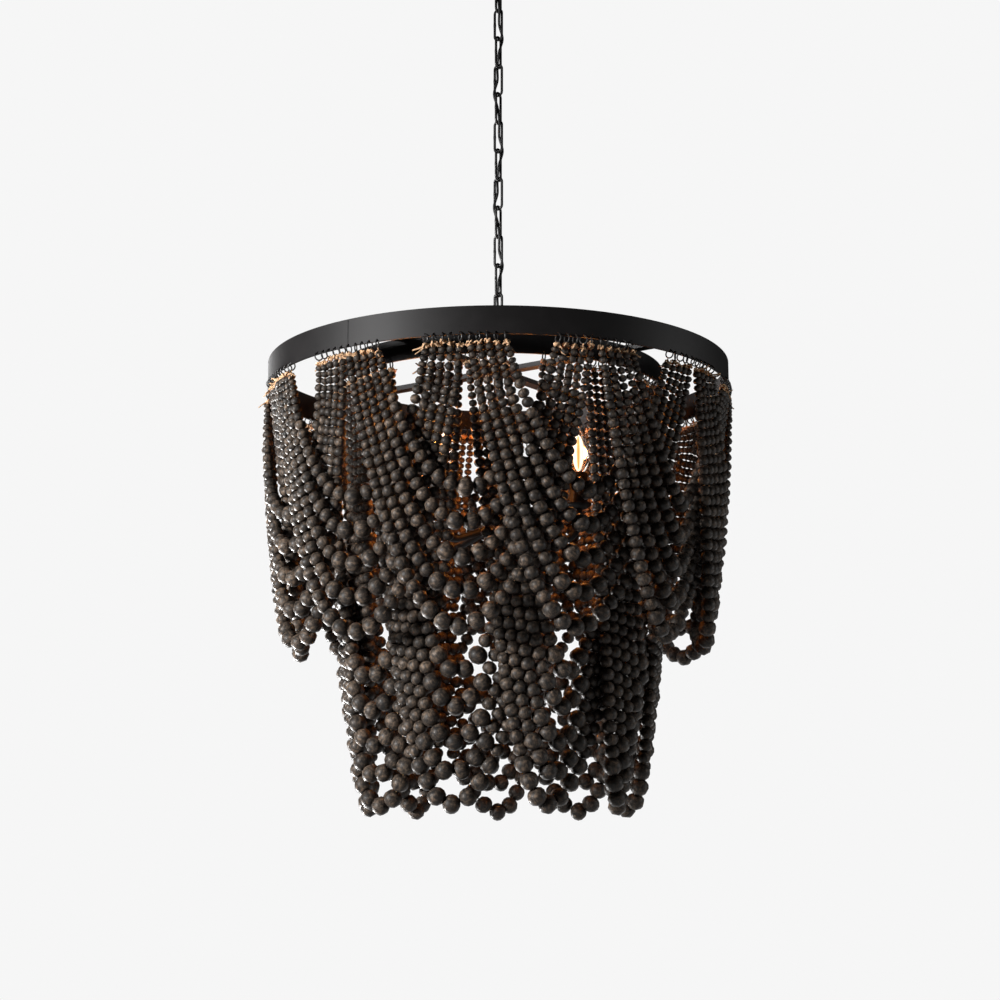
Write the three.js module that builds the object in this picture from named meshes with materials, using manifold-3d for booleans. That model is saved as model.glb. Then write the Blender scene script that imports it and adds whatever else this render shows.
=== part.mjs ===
// Beaded chandelier on a chain: a black steel double hoop that carries two tiers of
// graduated wooden bead swags round a four light cluster. Millimetres, +Z up.
// The origin is on the ceiling, in the middle of the strap that the canopy hangs from,
// and everything else lies below it. The front of the object faces -Y.
import * as THREE from 'three';
import { mergeVertices } from 'three/addons/utils/BufferGeometryUtils.js';
import Module from 'manifold-3d';

const wasm = await Module();
wasm.setup();

// Clearances shared by all pieces
const SEAT_GAP = 0.3;
const OVERRUN = 2;

// Ceiling fitting: a strap screwed to the ceiling, a canopy cup and its ring nut
const STRAP = { length: 100, width: 22, thickness: 3, screwSpacing: 76, screwHoleRadius: 2.4 };
const CANOPY = { radius: 63.5, height: 25, wall: 1.2, cornerRadius: 9, cornerSteps: 3 };
const CANOPY_NUT = { radius: 12, height: 6, bevel: 1.2 };

// Turned loops at both ends of the chain: an eye, a neck and a hollow threaded shank
const EYE = { ringRadius: 9, wireRadius: 2.5, neckRadius: 7, neckCover: 0.5, neckLength: 7 };
const SHANK = { radius: 4, boreRadius: 2.3, collarRadius: 10, collarHeight: 4, stemReach: 12 };

// Chain of welded oval links, and the supply cord threaded through it
const LINK = { count: 12, outerLength: 48, outerWidth: 15, wireRadius: 1.75 };
const CORD = { radius: 1.7, sideOffset: 4.2, midOffset: 1.4, eyeSideOffset: 4.7, endDepth: 8 };
const CORD_STEPS_PER_LINK = 4;
// The chain hangs turned by this azimuth, so that every link shows some of its opening
const CHAIN_TURN = 147;

// Hub that sits on the crossed bars
const HUB = { baseRadius: 22, height: 36 };
// Outline of the bell, as shares of the base radius and of the height, base first
const HUB_OUTLINE_SHARES = [[1, 0], [1, 0.13], [0.7, 0.25], [0.5, 0.5], [0.5, 0.87], [0.6, 0.92], [0.6, 1]];

// Hoops of flat steel band, and the two crossed flat bars that join them
const OUTER_HOOP = { radius: 305, wall: 3, height: 34.4, segments: 72 };
const INNER_HOOP = { radius: 217.75, wall: 3, segments: 60 };
const BAR = { width: 16, height: 6.4, azimuth: 54.5 };
const QUARTER_TURN = 90;

// Light cluster below the bars
const STEM = { radius: 6.35, length: 206, seatDepth: 10 };
const ARM_HUB = { radius: 19, height: 30, bevel: 5, armSeatDepth: 6, armHeightShare: 0.45 };
const FINIAL = { radius: 10, height: 26 };
// Outline of the knob, as shares of its radius and of its height, tip first
const FINIAL_OUTLINE_SHARES = [[0.15, 0], [0.72, 0.2], [1, 0.45], [0.72, 0.72], [0.45, 0.82], [0.6, 1]];
const LIGHT = { count: 4, circleRadius: 126 };
const ARM = { radius: 4.8, dip: 22, rise: 17 };
// Stations of an arm between hub and socket, as shares of its reach and of its dip
const ARM_ROUTE_SHARES = [[0.45, 0.6], [0.78, 1], [0.96, 0.55]];
const SOCKET = { cupRadius: 17, cupHeight: 7, cupFoot: 9, sleeveRadius: 12, sleeveHeight: 40 };
const BULB = { capRadius: 6.6, capLength: 19, glassRadius: 14.5, glassHeight: 62 };
// Outline of the glass, as shares of its height and of its radius
const GLASS_OUTLINE_SHARES = [[0, 0.58], [0.12, 0.8], [0.3, 1], [0.5, 0.93], [0.72, 0.66], [0.88, 0.36], [0.97, 0.14]];
const CAP_CLEARANCE = 0.5;

// Bead swags. Each cluster on a hoop has ten strands, a strand from its right half
// runs under the next cluster to the left half of the one after, five strands to a swag.
const STRANDS_PER_SWAG = 5;
const OUTER_SWAGS = {
  name: 'outer_swag',
  count: 12,
  firstAzimuth: -7.5,
  hookPitch: 2,
  drops: [180, 221, 261, 301, 341],
  topWidth: 8,
  bottomWidth: 15,
  growth: 1,
  weave: 10.5,
  sway: 6,
};
const INNER_SWAGS = {
  name: 'inner_swag',
  count: 9,
  firstAzimuth: -11.5,
  hookPitch: 3,
  drops: [387, 428, 470, 507, 544],
  topWidth: 8,
  bottomWidth: 16,
  growth: 3,
  weave: 12,
  sway: 3,
};
const SWAG_TOP_THICKNESS = 2.6;
// How thick a strand is through the skirt, as a share of its width in the swag's plane
const THICKNESS_SHARE = 0.75;
// Stations along a strand, as angles of its superellipse from the bottom up to the hook,
// and the last station, counted from the bottom, at which the strands are still apart
const STATION_SHARES = [0, 0.15, 0.36, 0.6, 0.84, 1];
const OPEN_STATIONS = 2;
// Exponents of the superellipse that a strand with heavier beads at its bottom hangs in
const STRAND_SIDE_POWER = 1.9;
const STRAND_DROP_POWER = 1.19;
const WEAVE_POWER = 0.6;
// The skirt hangs with a slight twist: its points turn about the axis as they go down, by
// this azimuth at the deepest bead, and by a power of the depth above it
const SKIRT_TWIST = { azimuth: -8, depthPower: 2.5 };

// Roundness of turned and tubular pieces, in segments
const TURNED = 16;
const WIRE_SIDES = 6;
const CORD_SIDES = 8;
const ARM_SIDES = 8;
const ARM_STEPS = 11;
const CROWN_STEPS = 4;
const EYE_SEGMENTS = 16;

// Finishes, from the photograph
const BLACK_STEEL = { color: 0x1d1b1a, roughness: 0.55, metalness: 0.5 };
const STAINED_WOOD = { color: 0x3a332d, roughness: 0.6, metalness: 0.0 };
const CORD_SHEATH = { color: 0x0f0f10, roughness: 0.6, metalness: 0.0 };
const WARM_GLASS = { color: 0xffd9a0, roughness: 0.1, metalness: 0.0 };

const radians = THREE.MathUtils.degToRad;
const chandelier = new THREE.Group();

// A named mesh with its own material, placed in a group
function addPiece(name, geometry, finish, parent = chandelier) {
  const mesh = new THREE.Mesh(geometry, new THREE.MeshStandardMaterial({ ...finish }));
  mesh.name = name;
  parent.add(mesh);
  return mesh;
}

// Joining and cutting. A geometry with merged vertices becomes a solid and comes back.
function toSolid(geometry) {
  const bare = geometry.clone();
  bare.deleteAttribute('normal');
  bare.deleteAttribute('uv');
  const merged = mergeVertices(bare);
  const vertProperties = new Float32Array(merged.attributes.position.array);
  const triVerts = new Uint32Array(merged.index.array);
  return new wasm.Manifold(new wasm.Mesh({ numProp: 3, vertProperties, triVerts }));
}

function toGeometry(solid) {
  const mesh = solid.getMesh();
  const geometry = new THREE.BufferGeometry();
  geometry.setAttribute('position', new THREE.BufferAttribute(mesh.vertProperties, 3));
  geometry.setIndex(new THREE.BufferAttribute(mesh.triVerts, 1));
  geometry.computeVertexNormals();
  return geometry;
}

// A turned solid about +Z from [radius, z] points that start and end on the axis
// or close on themselves
function turned(profile, segments = TURNED) {
  const points = profile.map(([radius, z]) => new THREE.Vector2(radius, z));
  return new THREE.LatheGeometry(points, segments).rotateX(Math.PI / 2);
}

// A turned tube between two heights
function turnedTube(outer, inner, bottom, top, segments = TURNED) {
  const profile = [[inner, bottom], [outer, bottom], [outer, top], [inner, top], [inner, bottom]];
  return turned(profile, segments);
}

// A turned rod between two heights, also used as a drill
function turnedRod(radius, bottom, top, segments = TURNED) {
  return turned([[0, bottom], [radius, bottom], [radius, top], [0, top]], segments);
}

// A box between two heights, centred on the axis
function bar(length, width, bottom, top) {
  const box = new THREE.BoxGeometry(length, width, top - bottom);
  return box.translate(0, 0, (top + bottom) / 2);
}

// A round section swept along a curve
function roundTube(curve, radius, steps, sides) {
  const section = new THREE.Shape();
  for (let side = 0; side < sides; side += 1) {
    const angle = (side / sides) * Math.PI * 2;
    section[side ? 'lineTo' : 'moveTo'](radius * Math.cos(angle), radius * Math.sin(angle));
  }
  section.closePath();
  const settings = { steps, extrudePath: curve, curveSegments: sides };
  return new THREE.ExtrudeGeometry(section, settings);
}

// Places down the axis, worked out from the ceiling to the light cluster
const canopyBottom = -CANOPY.height;
const nutTop = canopyBottom - SEAT_GAP;
const nutBottom = nutTop - CANOPY_NUT.height;
const canopyEye = nutBottom - SEAT_GAP - EYE.neckLength - EYE.ringRadius;
const linkSpan = LINK.outerLength - 2 * LINK.wireRadius;
const linkPitch = linkSpan - 2 * LINK.wireRadius - SEAT_GAP;
const firstLinkTop = canopyEye - EYE.ringRadius + EYE.wireRadius + LINK.wireRadius + SEAT_GAP;
const linkTops = Array.from({ length: LINK.count }, (_, i) => firstLinkTop - i * linkPitch);
const lastLinkBottom = linkTops[LINK.count - 1] - linkSpan;
const fixtureEyeTop = lastLinkBottom + LINK.wireRadius + EYE.wireRadius + SEAT_GAP;
const fixtureEye = fixtureEyeTop - EYE.ringRadius;
const collarTop = fixtureEye - EYE.ringRadius - EYE.neckLength;
const hubTop = collarTop - SHANK.collarHeight - SEAT_GAP;
const barTop = hubTop - HUB.height - SEAT_GAP;
const barBottom = barTop - BAR.height;
// Both hoops share one bottom plane, the bars are flush with the outer hoop's top
const hoopTop = barTop;
const hoopBottom = hoopTop - OUTER_HOOP.height;
const stemTop = barBottom - SEAT_GAP;
const stemBottom = stemTop - STEM.length;
const armHubTop = stemBottom + STEM.seatDepth - SEAT_GAP;
const armHubBottom = armHubTop - ARM_HUB.height;
const armHeight = armHubBottom + ARM_HUB.height * ARM_HUB.armHeightShare;
const socketBottom = armHeight + ARM.rise;

// Strap: a flat plate with two screw holes, solid in the middle
function ceilingStrap() {
  let plate = toSolid(bar(STRAP.length, STRAP.width, -STRAP.thickness, 0));
  for (const side of [-1, 1]) {
    const drill = turnedRod(STRAP.screwHoleRadius, -STRAP.thickness - OVERRUN, OVERRUN, WIRE_SIDES * 2);
    plate = plate.subtract(toSolid(drill.translate((side * STRAP.screwSpacing) / 2, 0, 0)));
  }
  return toGeometry(plate);
}
addPiece('ceiling_strap', ceilingStrap(), BLACK_STEEL);

// Canopy: a thin cup, open against the ceiling, with a hole for the loop's shank
function canopyCup() {
  const outer = [];
  const inner = [];
  for (let step = 0; step <= CANOPY.cornerSteps; step += 1) {
    const angle = (step / CANOPY.cornerSteps) * (Math.PI / 2);
    const centreRadius = CANOPY.radius - CANOPY.cornerRadius;
    const centreHeight = canopyBottom + CANOPY.cornerRadius;
    const innerRadius = CANOPY.cornerRadius - CANOPY.wall;
    const across = Math.sin(angle);
    const down = Math.cos(angle);
    outer.push([centreRadius + CANOPY.cornerRadius * across, centreHeight - CANOPY.cornerRadius * down]);
    inner.unshift([centreRadius + innerRadius * across, centreHeight - innerRadius * down]);
  }
  const holeRadius = SHANK.radius + SEAT_GAP;
  const profile = [
    [holeRadius, canopyBottom],
    ...outer,
    [CANOPY.radius, 0],
    [CANOPY.radius - CANOPY.wall, 0],
    ...inner,
    [holeRadius, canopyBottom + CANOPY.wall],
    [holeRadius, canopyBottom],
  ];
  return turned(profile);
}
addPiece('canopy', canopyCup(), BLACK_STEEL);

// Ring nut that clamps the canopy on the shank
function ringNut() {
  const bore = SHANK.radius + SEAT_GAP;
  return turned([
    [bore, nutBottom],
    [CANOPY_NUT.radius - CANOPY_NUT.bevel, nutBottom],
    [CANOPY_NUT.radius, nutBottom + CANOPY_NUT.bevel],
    [CANOPY_NUT.radius, nutTop],
    [bore, nutTop],
    [bore, nutBottom],
  ]);
}
addPiece('canopy_nut', ringNut(), BLACK_STEEL);

// A loop whose neck and hollow shank point up from the eye's centre. The shank is long
// enough to reach what it screws into, and the cord runs in its bore.
function turnedLoop(shankTop, collar) {
  const crown = EYE.ringRadius;
  const neckTop = crown + EYE.neckLength;
  const ring = new THREE.TorusGeometry(EYE.ringRadius, EYE.wireRadius, CORD_SIDES, EYE_SEGMENTS);
  const neck = turnedRod(EYE.neckRadius, crown - EYE.wireRadius - EYE.neckCover, neckTop);
  const shank = turnedRod(SHANK.radius, crown, shankTop);
  const bore = turnedRod(SHANK.boreRadius, crown - EYE.wireRadius - OVERRUN, shankTop + OVERRUN);
  let loop = toSolid(ring.rotateX(Math.PI / 2)).add(toSolid(neck)).add(toSolid(shank));
  if (collar) {
    const flange = turnedRod(SHANK.collarRadius, neckTop - OVERRUN, neckTop + SHANK.collarHeight);
    loop = loop.add(toSolid(flange));
  }
  return toGeometry(loop.subtract(toSolid(bore)));
}
const canopyShankTop = -STRAP.thickness - SEAT_GAP - canopyEye;
const canopyLoop = addPiece('canopy_loop', turnedLoop(canopyShankTop, false), BLACK_STEEL);
canopyLoop.position.z = canopyEye;
canopyLoop.rotation.z = radians(CHAIN_TURN);

// Chain link: a round wire bent to an oval, standing in the XZ plane
function chainLink() {
  const crownRadius = LINK.outerWidth / 2 - LINK.wireRadius;
  const straight = linkSpan / 2 - crownRadius;
  const centres = [];
  for (const end of [1, -1]) {
    for (let step = 0; step <= CROWN_STEPS; step += 1) {
      const angle = (step / CROWN_STEPS) * Math.PI;
      centres.push([end * crownRadius * Math.cos(angle), end * (straight + crownRadius * Math.sin(angle)), angle, end]);
    }
  }
  const positions = [];
  for (const [x, z, angle, end] of centres) {
    for (let side = 0; side < WIRE_SIDES; side += 1) {
      const turn = (side / WIRE_SIDES) * Math.PI * 2;
      const outward = LINK.wireRadius * Math.cos(turn);
      positions.push(x + outward * end * Math.cos(angle), LINK.wireRadius * Math.sin(turn));
      positions.push(z + outward * end * Math.sin(angle));
    }
  }
  const faces = [];
  const rings = centres.length;
  for (let ring = 0; ring < rings; ring += 1) {
    for (let side = 0; side < WIRE_SIDES; side += 1) {
      const here = ring * WIRE_SIDES;
      const next = ((ring + 1) % rings) * WIRE_SIDES;
      const beside = (side + 1) % WIRE_SIDES;
      faces.push(here + side, here + beside, next + side);
      faces.push(here + beside, next + beside, next + side);
    }
  }
  return closedGeometry(positions, faces);
}

// A geometry from positions and faces
function closedGeometry(positions, faces) {
  const geometry = new THREE.BufferGeometry();
  geometry.setAttribute('position', new THREE.Float32BufferAttribute(positions, 3));
  geometry.setIndex(faces);
  geometry.computeVertexNormals();
  return geometry;
}

// Even links stand in the plane of the canopy loop, odd ones across it
linkTops.forEach((top, index) => {
  const name = `chain_link_${String(index + 1).padStart(2, '0')}`;
  const link = addPiece(name, chainLink(), BLACK_STEEL);
  link.position.z = top - linkSpan / 2;
  link.rotation.z = radians(CHAIN_TURN + (index % 2 === 0 ? QUARTER_TURN : 0));
});

// Supply cord: out of the canopy loop's bore, round the crossings of the links in turn,
// through the middle of every link, and into the bore of the fixture loop
function cordRoute() {
  const points = [
    new THREE.Vector3(0, 0, canopyEye + EYE.ringRadius + EYE.neckLength + CORD.endDepth),
    new THREE.Vector3(0, 0, canopyEye + EYE.ringRadius),
    new THREE.Vector3(0, 0, canopyEye + EYE.ringRadius - 2 * EYE.wireRadius),
  ];
  // The corners that the cord passes at the crossings go round the axis by quarter turns
  for (let crossing = 0; crossing <= LINK.count; crossing += 1) {
    const quarter = radians(CHAIN_TURN) + Math.PI / 4 + (crossing * Math.PI) / 2;
    const atEye = crossing === 0 || crossing === LINK.count;
    const side = (atEye ? CORD.eyeSideOffset : CORD.sideOffset) * Math.SQRT2;
    const height = crossing < LINK.count
      ? linkTops[crossing] - LINK.wireRadius
      : lastLinkBottom + LINK.wireRadius;
    points.push(new THREE.Vector3(side * Math.cos(quarter), side * Math.sin(quarter), height));
    if (crossing < LINK.count) {
      const between = quarter + Math.PI / 4;
      const middle = linkTops[crossing] - linkSpan / 2;
      const inset = CORD.midOffset;
      points.push(new THREE.Vector3(inset * Math.cos(between), inset * Math.sin(between), middle));
    }
  }
  points.push(new THREE.Vector3(0, 0, fixtureEye - EYE.ringRadius + 2 * EYE.wireRadius));
  points.push(new THREE.Vector3(0, 0, fixtureEye - EYE.ringRadius));
  points.push(new THREE.Vector3(0, 0, fixtureEye - EYE.ringRadius - EYE.neckLength - CORD.endDepth));
  return new THREE.CatmullRomCurve3(points, false, 'centripetal');
}
const cordSteps = (LINK.count + 2) * CORD_STEPS_PER_LINK;
addPiece('supply_cord', roundTube(cordRoute(), CORD.radius, cordSteps, CORD_SIDES), CORD_SHEATH);

// Fixture loop: the same turned loop upside down, with a collar that rests on the hub
// and a shank that runs through the hub and the bars into the stem
const fixtureShank = fixtureEye - stemTop + SHANK.stemReach;
const fixtureLoop = addPiece('fixture_loop', turnedLoop(fixtureShank, true), BLACK_STEEL);
fixtureLoop.position.z = fixtureEye;
fixtureLoop.rotation.set(Math.PI, 0, radians(QUARTER_TURN - CHAIN_TURN));

// Hub: a bell shaped turning with a bore for the shank
function hubBell() {
  const bore = SHANK.radius + SEAT_GAP;
  const bottom = barTop + SEAT_GAP;
  const outline = HUB_OUTLINE_SHARES.map(([across, along]) => [
    HUB.baseRadius * across,
    bottom + HUB.height * along,
  ]);
  return turned([[bore, bottom], ...outline, [bore, hubTop], [bore, bottom]]);
}
addPiece('hub', hubBell(), BLACK_STEEL);

// Hoops: bands on edge. The inner one ends below the bars, which rest on it.
const innerHoopTop = barBottom - SEAT_GAP;
function hoop(size, top) {
  return turnedTube(size.radius, size.radius - size.wall, hoopBottom, top, size.segments);
}
addPiece('outer_hoop', hoop(OUTER_HOOP, hoopTop), BLACK_STEEL);
addPiece('inner_hoop', hoop(INNER_HOOP, innerHoopTop), BLACK_STEEL);

// Cross bars: they end at the outer hoop's inside wall, and are half lapped in the
// middle, where a hole lets the shank through
function crossBar(keepsTop) {
  const facetRadius = (OUTER_HOOP.radius - OUTER_HOOP.wall) * Math.cos(Math.PI / OUTER_HOOP.segments);
  const halfLength = Math.sqrt((facetRadius - SEAT_GAP) ** 2 - (BAR.width / 2) ** 2);
  const lapWidth = BAR.width + 2 * SEAT_GAP;
  const lapHeight = (barTop + barBottom) / 2;
  const notch = keepsTop
    ? bar(lapWidth, BAR.width + OVERRUN, barBottom - OVERRUN, lapHeight + SEAT_GAP / 2)
    : bar(lapWidth, BAR.width + OVERRUN, lapHeight - SEAT_GAP / 2, barTop + OVERRUN);
  const drill = turnedRod(SHANK.radius + SEAT_GAP, barBottom - OVERRUN, barTop + OVERRUN);
  const blank = toSolid(bar(2 * halfLength, BAR.width, barBottom, barTop));
  return toGeometry(blank.subtract(toSolid(notch)).subtract(toSolid(drill)));
}
const barTurn = radians(BAR.azimuth - QUARTER_TURN);
addPiece('cross_bar_a', crossBar(false), BLACK_STEEL).rotation.z = barTurn;
addPiece('cross_bar_b', crossBar(true), BLACK_STEEL).rotation.z = barTurn + radians(QUARTER_TURN);

// Stem: a tube that hangs from the bars on the shank's thread
const stemBore = SHANK.radius + SEAT_GAP;
addPiece('stem_tube', turnedTube(STEM.radius, stemBore, stemBottom, stemTop), BLACK_STEEL);

// Arm hub: a turned body with a seat for the stem and four for the arms
function armHubBody() {
  const edge = ARM_HUB.radius - ARM_HUB.bevel;
  const body = turned([
    [0, armHubBottom],
    [edge, armHubBottom],
    [ARM_HUB.radius, armHubBottom + ARM_HUB.bevel],
    [ARM_HUB.radius, armHubTop - ARM_HUB.bevel],
    [edge, armHubTop],
    [0, armHubTop],
  ]);
  const stemSeat = turnedRod(STEM.radius + SEAT_GAP, stemBottom - SEAT_GAP, armHubTop + OVERRUN);
  let solid = toSolid(body).subtract(toSolid(stemSeat));
  for (let light = 0; light < LIGHT.count; light += 1) {
    const from = ARM_HUB.radius - ARM_HUB.armSeatDepth;
    const seat = turnedRod(ARM.radius + SEAT_GAP, from, ARM_HUB.radius + OVERRUN, ARM_SIDES * 2);
    seat.rotateX(Math.PI / 2).rotateZ(lightAzimuth(light)).translate(0, 0, armHeight);
    solid = solid.subtract(toSolid(seat));
  }
  return toGeometry(solid);
}

// Azimuths go from the front towards +X, so a piece made at the front turns about +Z
function lightAzimuth(light) {
  return radians(BAR.azimuth + (light * 360) / LIGHT.count);
}
addPiece('arm_hub', armHubBody(), BLACK_STEEL);

// Finial: a turned knob under the arm hub
function finialKnob() {
  const top = armHubBottom - SEAT_GAP;
  const tip = top - FINIAL.height;
  const outline = FINIAL_OUTLINE_SHARES.map(([across, along]) => [
    FINIAL.radius * across,
    tip + FINIAL.height * along,
  ]);
  return turned([[0, tip], ...outline, [0, top]]);
}
addPiece('finial', finialKnob(), BLACK_STEEL);

// Arm: leaves the arm hub level, dips, and comes up under its socket
function lampArm() {
  const start = ARM_HUB.radius - ARM_HUB.armSeatDepth + SEAT_GAP;
  const end = LIGHT.circleRadius;
  const reach = end - start;
  const points = [
    new THREE.Vector3(0, -start, armHeight),
    new THREE.Vector3(0, -ARM_HUB.radius - ARM.radius, armHeight),
  ];
  for (const [outShare, downShare] of ARM_ROUTE_SHARES) {
    points.push(new THREE.Vector3(0, -(start + reach * outShare), armHeight - ARM.dip * downShare));
  }
  points.push(new THREE.Vector3(0, -end, socketBottom - 2 * ARM.radius));
  points.push(new THREE.Vector3(0, -end, socketBottom - SEAT_GAP));
  const curve = new THREE.CatmullRomCurve3(points, false, 'centripetal');
  return roundTube(curve, ARM.radius, ARM_STEPS, ARM_SIDES);
}

// Socket: a drip cup and a candle sleeve, with a blind bore for the bulb's cap
function lampSocket() {
  const cupTop = socketBottom + SOCKET.cupHeight;
  const sleeveTop = socketBottom + SOCKET.sleeveHeight + SOCKET.cupHeight;
  const boreRadius = BULB.capRadius + CAP_CLEARANCE;
  const boreBottom = sleeveTop - BULB.capLength - SEAT_GAP;
  return turned([
    [0, socketBottom],
    [SOCKET.cupFoot, socketBottom],
    [SOCKET.cupRadius, cupTop - SOCKET.cupHeight / 3],
    [SOCKET.cupRadius, cupTop],
    [SOCKET.sleeveRadius, cupTop],
    [SOCKET.sleeveRadius, sleeveTop],
    [boreRadius, sleeveTop],
    [boreRadius, boreBottom],
    [0, boreBottom],
  ]);
}

// Bulb: a screw cap, and a slim glass body that tapers to a rounded tip
function candleBulb() {
  const glassBottom = socketBottom + SOCKET.sleeveHeight + SOCKET.cupHeight + SEAT_GAP;
  const capBottom = glassBottom - BULB.capLength;
  const profile = [[0, capBottom], [BULB.capRadius, capBottom], [BULB.capRadius, glassBottom]];
  for (const [heightShare, radiusShare] of GLASS_OUTLINE_SHARES) {
    profile.push([BULB.glassRadius * radiusShare, glassBottom + BULB.glassHeight * heightShare]);
  }
  profile.push([0, glassBottom + BULB.glassHeight]);
  return turned(profile);
}

for (let light = 0; light < LIGHT.count; light += 1) {
  const place = new THREE.Group();
  place.rotation.z = lightAzimuth(light);
  chandelier.add(place);
  addPiece(`lamp_arm_${light + 1}`, lampArm(), BLACK_STEEL, place);
  const socket = addPiece(`lamp_socket_${light + 1}`, lampSocket(), BLACK_STEEL, place);
  const bulb = addPiece(`bulb_${light + 1}`, candleBulb(), WARM_GLASS, place);
  socket.position.y = -LIGHT.circleRadius;
  bulb.position.y = -LIGHT.circleRadius;
}

// Swag of strands, made at the front: X along the chord, -Y outward, z = 0 at the hoop.
// Each strand hangs in the vertical plane through its two hooks.
function strandLines(tier, hookRadius) {
  const pitch = 360 / tier.count;
  return tier.drops.map((drop, strand) => {
    const hook = (STRANDS_PER_SWAG - strand - 0.5) * tier.hookPitch;
    const halfAngle = radians(pitch - hook);
    return {
      drop,
      halfChord: hookRadius * Math.sin(halfAngle),
      chordRadius: hookRadius * Math.cos(halfAngle),
    };
  });
}

// The swags of a tier turn about the chord that their mass hangs under
function swayRadius(lines) {
  let mass = 0;
  let moment = 0;
  for (const line of lines) {
    const weight = Math.hypot(line.drop, line.halfChord);
    mass += weight;
    moment += weight * line.chordRadius;
  }
  return moment / mass;
}

// One cross section of a strand: its centre, its width, and the side that faces
// out of the U in its plane
function strandStation(tier, line, angleShare, side, axisRadius) {
  const angle = (angleShare * Math.PI) / 2;
  const across = Math.sin(angle) ** (2 / STRAND_SIDE_POWER);
  const depth = Math.cos(angle) ** (2 / STRAND_DROP_POWER);
  const atHook = angleShare === 1;
  const spread = Math.sin(Math.PI * Math.min(across, 1)) ** WEAVE_POWER;
  const width = tier.topWidth + (tier.bottomWidth - tier.topWidth) * depth ** tier.growth;
  const lever = Math.abs(line.chordRadius - axisRadius) + SWAG_TOP_THICKNESS;
  const clear = SEAT_GAP + lever * Math.sin(radians(tier.sway));
  // The slope of the superellipse gives the outward side, level at the hook
  const slopeX = across ** (STRAND_SIDE_POWER - 1) / line.halfChord;
  const slopeZ = (STRAND_DROP_POWER / STRAND_SIDE_POWER) * depth ** (STRAND_DROP_POWER - 1) / line.drop;
  const length = Math.hypot(slopeX, slopeZ);
  return {
    x: side * across * line.halfChord,
    y: -line.chordRadius + side * tier.weave * (atHook ? 0 : spread),
    z: atHook ? -clear : -Math.max(depth * line.drop, clear),
    outX: atHook ? side : (side * slopeX) / length,
    outZ: atHook ? 0 : -slopeZ / length,
    half: width / 2,
    halfThickness: atHook ? SWAG_TOP_THICKNESS / 2 : (width * THICKNESS_SHARE) / 2,
  };
}

// A point of the skirt after its twist about the lamp's axis
function twisted(point) {
  const share = Math.min(point.z, 0) / -Math.max(...INNER_SWAGS.drops);
  const twist = radians(SKIRT_TWIST.azimuth) * share ** SKIRT_TWIST.depthPower;
  return point.applyAxisAngle(new THREE.Vector3(0, 0, 1), twist);
}

// The five strands as one closed skin: joined side by side near the hooks, apart below
function swagSkin(tier, hookRadius) {
  const lines = strandLines(tier, hookRadius);
  const axisRadius = swayRadius(lines);
  const stations = [];
  for (const share of [...STATION_SHARES].reverse()) {
    stations.push([share, -1]);
  }
  for (const share of STATION_SHARES.slice(1)) {
    stations.push([share, 1]);
  }
  const columns = 2 * STRANDS_PER_SWAG;
  const rows = stations.length;
  const middle = (rows - 1) / 2;
  const positions = [];
  for (const face of [-1, 1]) {
    for (const [share, side] of stations) {
      for (const line of lines) {
        const at = strandStation(tier, line, share, side, axisRadius);
        for (const edge of [-1, 1]) {
          const corner = new THREE.Vector3(
            at.x + edge * at.half * at.outX,
            at.y + face * at.halfThickness,
            at.z + edge * at.half * at.outZ,
          );
          positions.push(...twisted(corner).toArray());
        }
      }
    }
  }
  const vertex = (face, row, column) => (face * rows + row) * columns + column;
  const isFilled = (row, column) => {
    if (row < 0 || row >= rows - 1 || column < 0 || column >= columns - 1) return false;
    const onStrand = column % 2 === 0;
    const fromMiddle = Math.min(Math.abs(row - middle), Math.abs(row + 1 - middle));
    return onStrand || fromMiddle >= OPEN_STATIONS;
  };
  const faces = [];
  const quad = (a, b, c, d) => faces.push(a, b, c, a, c, d);
  for (let row = 0; row < rows - 1; row += 1) {
    for (let column = 0; column < columns - 1; column += 1) {
      if (!isFilled(row, column)) continue;
      const corner = (face, down, along) => vertex(face, row + down, column + along);
      quad(corner(0, 0, 0), corner(0, 0, 1), corner(0, 1, 1), corner(0, 1, 0));
      quad(corner(1, 0, 0), corner(1, 1, 0), corner(1, 1, 1), corner(1, 0, 1));
      if (!isFilled(row - 1, column)) {
        quad(corner(0, 0, 0), corner(1, 0, 0), corner(1, 0, 1), corner(0, 0, 1));
      }
      if (!isFilled(row + 1, column)) {
        quad(corner(0, 1, 1), corner(1, 1, 1), corner(1, 1, 0), corner(0, 1, 0));
      }
      if (!isFilled(row, column - 1)) {
        quad(corner(0, 1, 0), corner(1, 1, 0), corner(1, 0, 0), corner(0, 0, 0));
      }
      if (!isFilled(row, column + 1)) {
        quad(corner(0, 0, 1), corner(1, 0, 1), corner(1, 1, 1), corner(0, 1, 1));
      }
    }
  }
  return closedGeometry(positions, faces);
}

function hangSwags(tier, size) {
  const hookRadius = size.radius - size.wall / 2;
  for (let index = 0; index < tier.count; index += 1) {
    const name = `${tier.name}_${String(index + 1).padStart(2, '0')}`;
    const swag = addPiece(name, swagSkin(tier, hookRadius), STAINED_WOOD);
    swag.position.z = hoopBottom;
    swag.rotation.z = radians(tier.firstAzimuth + (index * 360) / tier.count);
  }
}
hangSwags(OUTER_SWAGS, OUTER_HOOP);
hangSwags(INNER_SWAGS, INNER_HOOP);

export default chandelier;
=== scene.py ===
# %% [markdown]
# # A beaded chandelier, dressed in Blender
# The lamp hangs from the ceiling on a welded chain. Two black steel hoops carry swags of
# graduated wooden beads, woven over and under each other, round four candle bulbs.
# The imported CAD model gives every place: the origin is on the ceiling, +Z points up, and
# the front of the lamp faces -Y. This script only adds what makes the lamp look real.

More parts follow.
